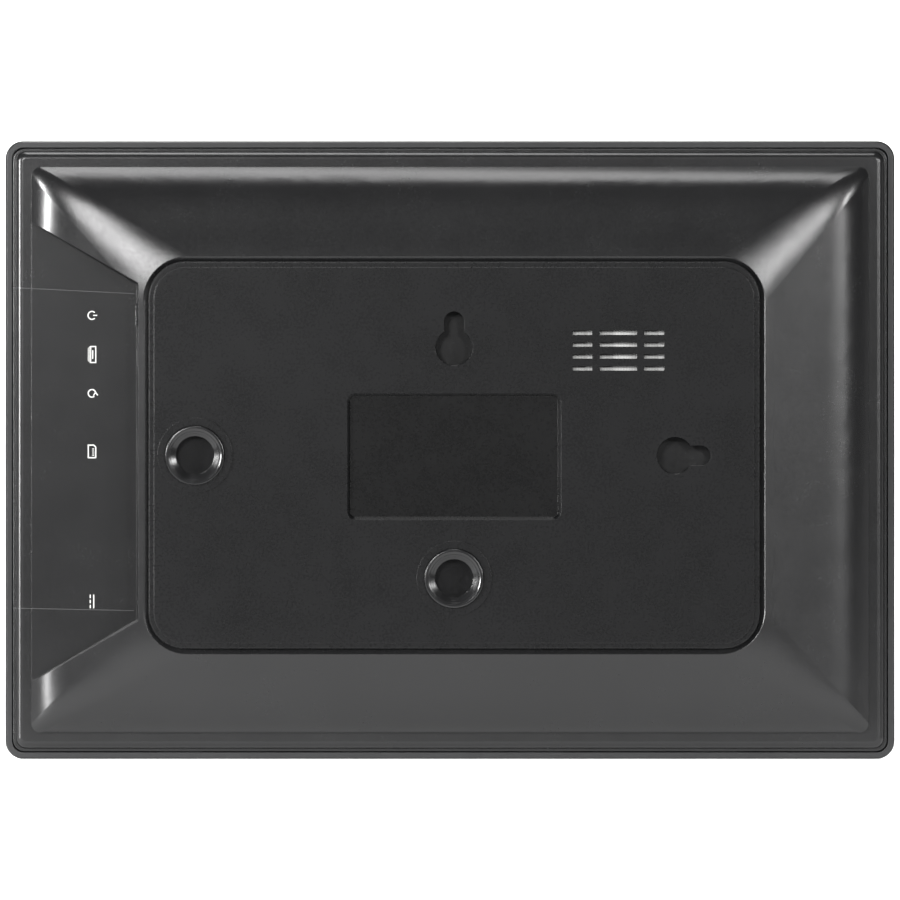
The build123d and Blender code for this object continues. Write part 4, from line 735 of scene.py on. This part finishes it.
def ink_ring(center, radius, line, film, gap_middle, gap):
    """Printed ring with a gap: a torus pressed flat, opened where the gap is and closed at its ends."""
    start_clean()
    bpy.ops.mesh.primitive_torus_add(
        location=(center[0], bay_floor_y + film / 2, center[1]), rotation=(pi / 2, 0.0, 0.0),
        major_segments=48, minor_segments=8, major_radius=radius, minor_radius=line / 2,
    )
    ring = bpy.context.object
    bpy.ops.object.transform_apply(location=False, rotation=True, scale=True)
    ring.scale = (1.0, film / line, 1.0)
    bpy.ops.object.transform_apply(location=True, rotation=True, scale=True)
    toward = Vector((cos(gap_middle), 0.0, sin(gap_middle)))
    middle = Vector((center[0], bay_floor_y + film / 2, center[1]))
    select_faces(ring, lambda place, normal: (place - middle).normalized().dot(toward) > cos(gap / 2))
    bpy.ops.mesh.delete(type="FACE")
    bpy.ops.mesh.select_all(action="SELECT")
    bpy.ops.mesh.fill_holes(sides=0)
    bpy.ops.mesh.select_all(action="SELECT")
    bpy.ops.mesh.normals_make_consistent(inside=False)
    bpy.ops.object.mode_set(mode="OBJECT")
    return ring


def ink_outline(center, size, line, film, cut_corners):
    """Printed outline of a shape: a plate with cut corners, inset and bridged into a frame."""
    start_clean()
    bpy.ops.mesh.primitive_cube_add(size=1.0, location=(center[0], bay_floor_y + film / 2, center[1]))
    outline = bpy.context.object
    outline.scale = (size[0], film, size[1])
    bpy.ops.object.transform_apply(location=True, rotation=True, scale=True)
    bpy.ops.object.mode_set(mode="EDIT")
    bpy.ops.mesh.select_all(action="DESELECT")
    bpy.ops.object.mode_set(mode="OBJECT")
    for edge in outline.data.edges:
        ends = [outline.data.vertices[index].co for index in edge.vertices]
        upright = abs(ends[0].y - ends[1].y) > film / 2
        side = (ends[0].x > center[0], ends[0].z > center[1])
        edge.select = upright and side in cut_corners
    bpy.ops.object.mode_set(mode="EDIT")
    bpy.ops.mesh.select_mode(type="EDGE")
    bpy.ops.mesh.bevel(offset=min(size) * 0.28, segments=1)
    bpy.ops.mesh.select_mode(type="FACE")
    select_faces(outline, lambda place, normal: abs(normal.y) > 0.9)
    bpy.ops.mesh.inset(thickness=line)
    bpy.ops.mesh.bridge_edge_loops()
    bpy.ops.mesh.select_all(action="SELECT")
    bpy.ops.mesh.normals_make_consistent(inside=False)
    bpy.ops.object.mode_set(mode="OBJECT")
    return outline


class PHOTOFRAME_OT_port_marks(bpy.types.Operator):
    """Prints a generic pictogram beside each connector in the bay"""

    bl_idname = "photoframe.port_marks"
    bl_label = "Port Pictograms"

    def execute(self, context):
        marks = context.scene.frame_marks
        ink = matt_film("pictogram ink", tuple(marks.ink), 0.55)
        x = bay_low.x + marks.reach
        drawings = {
            "mark_power": self.power(marks, x, extent("power_button")[2].z),
            "mark_connector": self.connector(marks, x, extent("usb_socket")[2].z),
            "mark_restart": self.restart(marks, x, extent("reset_plunger")[2].z),
            "mark_card": self.card(marks, x, extent("card_socket")[2].z),
            "mark_supply": self.supply(marks, x, extent("dc_jack_pin")[2].z),
        }
        for name, strokes in drawings.items():
            piece = join_pieces(strokes, name)
            piece.data.materials.clear()
            piece.data.materials.append(ink)
            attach(piece, "body")
        return {"FINISHED"}

    def power(self, marks, x, z):
        """Broken ring with a bar in its gap."""
        radius = marks.height * 0.46
        return [
            ink_ring((x, z), radius, marks.line, marks.film, pi, radians(85)),
            ink_bar((x - radius * 0.8, z), (radius, marks.line), marks.film),
        ]

    def connector(self, marks, x, z):
        """Outline of a plug's mouth with two corners cut, and its tongue."""
        width = marks.height * 2.0
        cut_corners = ((True, True), (True, False))
        return [
            ink_outline((x, z), (marks.height, width), marks.line, marks.film, cut_corners),
            ink_bar((x - marks.height * 0.08, z), (marks.line, width * 0.5), marks.film),
        ]

    def restart(self, marks, x, z):
        """Ring that ends in an arrow head."""
        radius = marks.height * 0.44
        tip = (x - radius * 0.95, z - radius * 0.1)
        head = marks.line * 3.0
        strokes = [ink_ring((x, z), radius, marks.line, marks.film, radians(208), radians(56))]
        for side in (1, -1):
            place = (tip[0] + side * head * 0.34, tip[1] - head * 0.1)
            strokes.append(ink_bar(place, (head, marks.line), marks.film, side * radians(55)))
        return strokes

    def card(self, marks, x, z):
        """Outline of a memory card with one corner cut, and its contacts."""
        length = marks.height * 1.6
        strokes = [ink_outline((x, z), (marks.height, length), marks.line, marks.film, ((False, True),))]
        for index in range(4):
            across = z - length * 0.27 + index * length * 0.15
            size = (marks.height * 0.26, marks.line * 0.7)
            strokes.append(ink_bar((x - marks.height * 0.14, across), size, marks.film))
        return strokes

    def supply(self, marks, x, z):
        """Solid bar over three dashes, for a steady supply."""
        width = marks.height * 1.6
        strokes = [ink_bar((x - marks.height * 0.2, z), (marks.line, width), marks.film)]
        for index in (-1, 0, 1):
            place = (x + marks.height * 0.2, z + index * width * 0.37)
            strokes.append(ink_bar(place, (marks.line, width * 0.24), marks.film))
        return strokes


# ---------------------------------------------------------------------------
# Display, speaker, electronics and fastenings
# ---------------------------------------------------------------------------
class PHOTOFRAME_OT_display(bpy.types.Operator):
    """Finishes the layers of the display"""

    bl_idname = "photoframe.display"
    bl_label = "Display"

    def execute(self, context):
        dress(screen_glass("touch glass", (0.008, 0.0085, 0.01), 0.04), "touch_glass")
        dress(screen_glass("cell glass", (0.03, 0.032, 0.04), 0.12), "lcd_cell")
        dress(matt_film("diffuser film", (0.75, 0.76, 0.78), 0.5), "optical_films")
        dress(matt_film("reflector film", (0.85, 0.86, 0.87), 0.35), "reflector_sheet")
        dress(clear_acrylic("light guide acrylic"), "light_guide")
        dress(smooth_plastic("strip board white", (0.75, 0.75, 0.72), 0.4), "led_strip")
        dress(smooth_plastic("lamp phosphor", (0.85, 0.75, 0.25), 0.25), "backlight_leds")
        dress(plated_metal("tray steel", (0.6, 0.6, 0.6), 0.32), "backlight_tray", "panel_brackets")
        dress(matt_film("foam", (0.02, 0.02, 0.02), 0.85), "bezel_gasket", "speaker_gasket")
        dress(matt_film("adhesive film", (0.06, 0.06, 0.06), 0.4), "touch_tape")
        return {"FINISHED"}


class PHOTOFRAME_OT_speaker(bpy.types.Operator):
    """Finishes the speaker and the mesh behind the sound slots"""

    bl_idname = "photoframe.speaker"
    bl_label = "Speaker"

    def execute(self, context):
        dress(woven_mesh("dust mesh", (0.6, 0.6, 0.59), 0.45 * MM), "speaker_mesh")
        dress(smooth_plastic("basket plastic", (0.03, 0.03, 0.03), 0.5), "speaker_basket")
        dress(smooth_plastic("cone film", (0.2, 0.2, 0.21), 0.3), "speaker_cone")
        dress(plated_metal("magnet plating", (0.55, 0.55, 0.57), 0.22), "speaker_magnet")
        return {"FINISHED"}


class PHOTOFRAME_OT_electronics(bpy.types.Operator):
    """Finishes the circuit board and the parts on it"""

    bl_idname = "photoframe.electronics"
    bl_label = "Electronics"

    def execute(self, context):
        dress(printed_board("solder mask", (0.012, 0.11, 0.045)), "main_pcb")
        chip_black = smooth_plastic("chip resin", (0.016, 0.016, 0.017), 0.5)
        dress(chip_black, "processor", "memory_chip", "flash_chip")
        can = plated_metal("tinned can", (0.72, 0.72, 0.71), 0.28)
        dress(can, "shield_can", "wifi_module")
        dress(plated_metal("crystal lid", (0.7, 0.66, 0.52), 0.24), "crystal")
        dress(smooth_plastic("ferrite", (0.05, 0.05, 0.052), 0.6), "power_inductors")
        dress(smooth_plastic("capacitor ceramic", (0.4, 0.28, 0.16), 0.4), "chip_capacitors")
        return {"FINISHED"}


class PHOTOFRAME_OT_connectors(bpy.types.Operator):
    """Finishes the sockets of the bay and the connectors on the board"""

    bl_idname = "photoframe.connectors"
    bl_label = "Connectors"

    def execute(self, context):
        shell = plated_metal("connector shell", (0.66, 0.66, 0.66), 0.26)
        dress(shell, "usb_socket", "card_socket", "reset_switch")
        black = smooth_plastic("connector nylon", (0.014, 0.014, 0.014), 0.42)
        dress(black, "usb_tongue", "dc_jack", "lcd_connector", "touch_connector", "power_switch")
        white = smooth_plastic("pale nylon", (0.7, 0.68, 0.6), 0.45)
        dress(white, "speaker_connector", "speaker_plug", "card_slider")
        dress(plated_metal("jack pin", (0.8, 0.8, 0.8), 0.18), "dc_jack_pin")
        dress(plated_metal("contact bronze", (0.7, 0.48, 0.28), 0.3), "dc_jack_contact")
        return {"FINISHED"}


class PHOTOFRAME_OT_buttons(bpy.types.Operator):
    """Finishes the power button and the plungers of both switches"""

    bl_idname = "photoframe.buttons"
    bl_label = "Buttons"

    def execute(self, context):
        dress(moulded_plastic("button black", 1.3, -0.08), "power_button")
        plunger = smooth_plastic("plunger black", (0.02, 0.02, 0.02), 0.4)
        dress(plunger, "power_switch_plunger", "reset_plunger")
        return {"FINISHED"}


class PHOTOFRAME_OT_fastenings(bpy.types.Operator):
    """Finishes the screws and the threaded posts"""

    bl_idname = "photoframe.fastenings"
    bl_label = "Fastenings"

    def execute(self, context):
        screws = ("cover_screws", "pcb_screws", "bracket_screws", "speaker_screws")
        dress(plated_metal("black zinc", (0.16, 0.16, 0.17), 0.34), *screws)
        dress(plated_metal("turned brass", (0.72, 0.55, 0.25), 0.26), "tray_posts", "pcb_posts")
        return {"FINISHED"}


class PHOTOFRAME_OT_wiring(bpy.types.Operator):
    """Finishes the ribbons, the leads and the aerial"""

    bl_idname = "photoframe.wiring"
    bl_label = "Wiring"

    def execute(self, context):
        dress(matt_film("ribbon film", (0.55, 0.22, 0.03), 0.35), "lcd_flex", "touch_flex")
        dress(matt_film("lead insulation", (0.4, 0.015, 0.012), 0.4), "speaker_leads")
        dress(matt_film("coax sheath", (0.02, 0.02, 0.02), 0.4), "aerial_lead")
        dress(matt_film("aerial film", (0.03, 0.03, 0.03), 0.35), "wifi_aerial")
        return {"FINISHED"}


# ---------------------------------------------------------------------------
# Studio
# ---------------------------------------------------------------------------
def softbox(name, location, target, size, power):
    """Rectangular light aimed at a point."""
    start_clean()
    bpy.ops.object.light_add(type="AREA", location=location)
    lamp = bpy.context.object
    lamp.name = name
    lamp.data.shape = "RECTANGLE"
    lamp.data.size, lamp.data.size_y = size
    lamp.data.energy = power
    lamp.rotation_euler = (Vector(target) - Vector(location)).to_track_quat("-Z", "Y").to_euler()


class PHOTOFRAME_OT_stage(bpy.types.Operator):
    """Lays the floor and backdrop, hangs the softboxes and sets the camera behind the frame"""

    bl_idname = "photoframe.stage"
    bl_label = "Studio"

    def execute(self, context):
        stage = context.scene.frame_stage
        middle = (cad_bounds[0] + cad_bounds[1]) / 2
        self.floor(stage)
        self.room(context, stage)
        # Each light's name, place from the middle of the frame, size and power
        lights = (
            ("softbox key", (0.44, 1.5, 0.37), (0.3, 0.3), stage.key_power),
            ("softbox corner", (-0.48, 1.33, 0.29), (0.24, 0.24), stage.side_power),
            ("softbox side", (-1.05, 1.2, 0.3), (0.24, 0.26), 1.7 * stage.side_power),
            ("softbox rim", (1.2, 0.77, 0.22), (0.16, 0.5), stage.rim_power),
            ("softbox overhead", (0.1, 0.05, 1.2), (1.2, 0.3), stage.top_power),
        )
        for name, place, size, power in lights:
            softbox(name, middle + Vector(place), middle, size, power)
        start_clean()
        bpy.ops.object.camera_add(
            location=(0.0, stage.distance, middle.z), rotation=(radians(90), 0.0, radians(180)),
        )
        camera = context.object
        camera.name = "camera behind"
        wide = stage.margin * frame_width
        camera.data.lens = camera.data.sensor_width * (stage.distance - bezel_high.y) / wide
        camera.data.clip_start = 0.01
        context.scene.camera = camera
        context.scene.view_settings.view_transform = "Standard"
        return {"FINISHED"}

    def floor(self, stage):
        """Table top that sweeps up into a backdrop and drops away in front, in one sheet."""
        table_middle = -3.5
        table_width, table_depth = 30.0, 7.8
        backdrop_height = 10.0
        front_drop = 1.2
        start_clean()
        bpy.ops.mesh.primitive_plane_add(size=1.0, location=(0.0, table_middle, 0.0))
        sheet = bpy.context.object
        sheet.scale = (table_width, table_depth, 1.0)
        bpy.ops.object.transform_apply(location=True, rotation=True, scale=True)
        bpy.ops.object.mode_set(mode="EDIT")
        bpy.ops.mesh.select_mode(type="EDGE")
        self.pull_edge(sheet, -1, backdrop_height)
        self.pull_edge(sheet, 1, -front_drop)
        bpy.ops.object.mode_set(mode="OBJECT")
        bpy.ops.object.modifier_add(type="BEVEL")
        bend = sheet.modifiers[-1]
        bend.width = 0.2
        bend.segments = 24
        bend.limit_method = "ANGLE"
        bpy.ops.object.modifier_apply(modifier=bend.name)
        bpy.ops.object.shade_smooth()
        settle("studio_sweep")
        sheet.data.materials.append(self.paper(stage))

    def pull_edge(self, sheet, side, rise):
        """Extrudes the sheet's far edge (-1) or near edge (1) up or down by a rise."""
        bpy.ops.mesh.select_all(action="DESELECT")
        bpy.ops.object.mode_set(mode="OBJECT")
        spots = [vertex.co.y for vertex in sheet.data.vertices]
        limit = (min(spots) if side < 0 else max(spots)) * side - MM
        for edge in sheet.data.edges:
            edge.select = all(side * spots[index] > limit for index in edge.vertices)
        bpy.ops.object.mode_set(mode="EDIT")
        bpy.ops.mesh.extrude_region_move(TRANSFORM_OT_translate={"value": (0.0, 0.0, rise)})

    def paper(self, stage):
        """Matt paper that glows a little, and more where it lies far beyond the frame."""
        material, tree, shader = new_material("studio paper")
        mottle = noise(tree, object_place(tree), 3.0, 4.0, 0.5)
        color = tinted(tree, span(tree, mottle, 0.3, 0.7, 0.99, 1.01), stage.floor)
        tree.links.new(color, shader.inputs["Base Color"])
        tree.links.new(span(tree, mottle, 0.3, 0.7, 0.7, 0.8), shader.inputs["Roughness"])
        shader.inputs["Emission Color"].default_value = (1.0, 1.0, 1.0, 1.0)
        glow = span(tree, object_axes(tree)["Y"], -2.0, -0.4, 1.05, stage.glow)
        tree.links.new(glow, shader.inputs["Emission Strength"])
        return material

    def room(self, context, stage):
        """Even, dim light of the room, which the camera itself sees as white."""
        world = bpy.data.worlds.new("studio room")
        world.use_nodes = True
        tree = world.node_tree
        ground = tree.nodes["Background"]
        ground.inputs["Color"].default_value = (1.0, 1.0, 1.0, 1.0)
        seen = tree.nodes.new("ShaderNodeLightPath").outputs["Is Camera Ray"]
        tree.links.new(span(tree, seen, 0.0, 1.0, stage.ambient, 1.0), ground.inputs["Strength"])
        context.scene.world = world


# ---------------------------------------------------------------------------
# Panel and registration
# ---------------------------------------------------------------------------
OPERATORS = (
    PHOTOFRAME_OT_front_bezel,
    PHOTOFRAME_OT_display,
    PHOTOFRAME_OT_rear_cover,
    PHOTOFRAME_OT_rear_plate,
    PHOTOFRAME_OT_stand_sockets,
    PHOTOFRAME_OT_port_marks,
    PHOTOFRAME_OT_speaker,
    PHOTOFRAME_OT_electronics,
    PHOTOFRAME_OT_connectors,
    PHOTOFRAME_OT_buttons,
    PHOTOFRAME_OT_fastenings,
    PHOTOFRAME_OT_wiring,
    PHOTOFRAME_OT_stage,
)
SETTINGS = {
    "frame_plastic": PlasticSettings,
    "frame_socket": SocketSettings,
    "frame_marks": MarkSettings,
    "frame_stage": StageSettings,
}


class PHOTOFRAME_PT_panel(bpy.types.Panel):
    """Sidebar panel with every piece and its settings"""

    bl_idname = "PHOTOFRAME_PT_panel"
    bl_label = "Photo Frame"
    bl_space_type = "VIEW_3D"
    bl_region_type = "UI"
    bl_category = "Photo Frame"

    def draw(self, context):
        for operator in OPERATORS:
            self.layout.operator(operator.bl_idname)
        for name, group in SETTINGS.items():
            box = self.layout.box()
            for setting in group.__annotations__:
                box.prop(getattr(context.scene, name), setting)


def register():
    for cls in (*SETTINGS.values(), *OPERATORS, PHOTOFRAME_PT_panel):
        bpy.utils.register_class(cls)
    for name, group in SETTINGS.items():
        setattr(bpy.types.Scene, name, bpy.props.PointerProperty(type=group))


def unregister():
    for name in SETTINGS:
        delattr(bpy.types.Scene, name)
    for cls in reversed((*SETTINGS.values(), *OPERATORS, PHOTOFRAME_PT_panel)):
        bpy.utils.unregister_class(cls)


def main():
    """Builds every piece in order."""
    register()
    for operator in OPERATORS:
        category, name = operator.bl_idname.split(".")
        getattr(getattr(bpy.ops, category), name)()


if __name__ == "__main__":
    main()
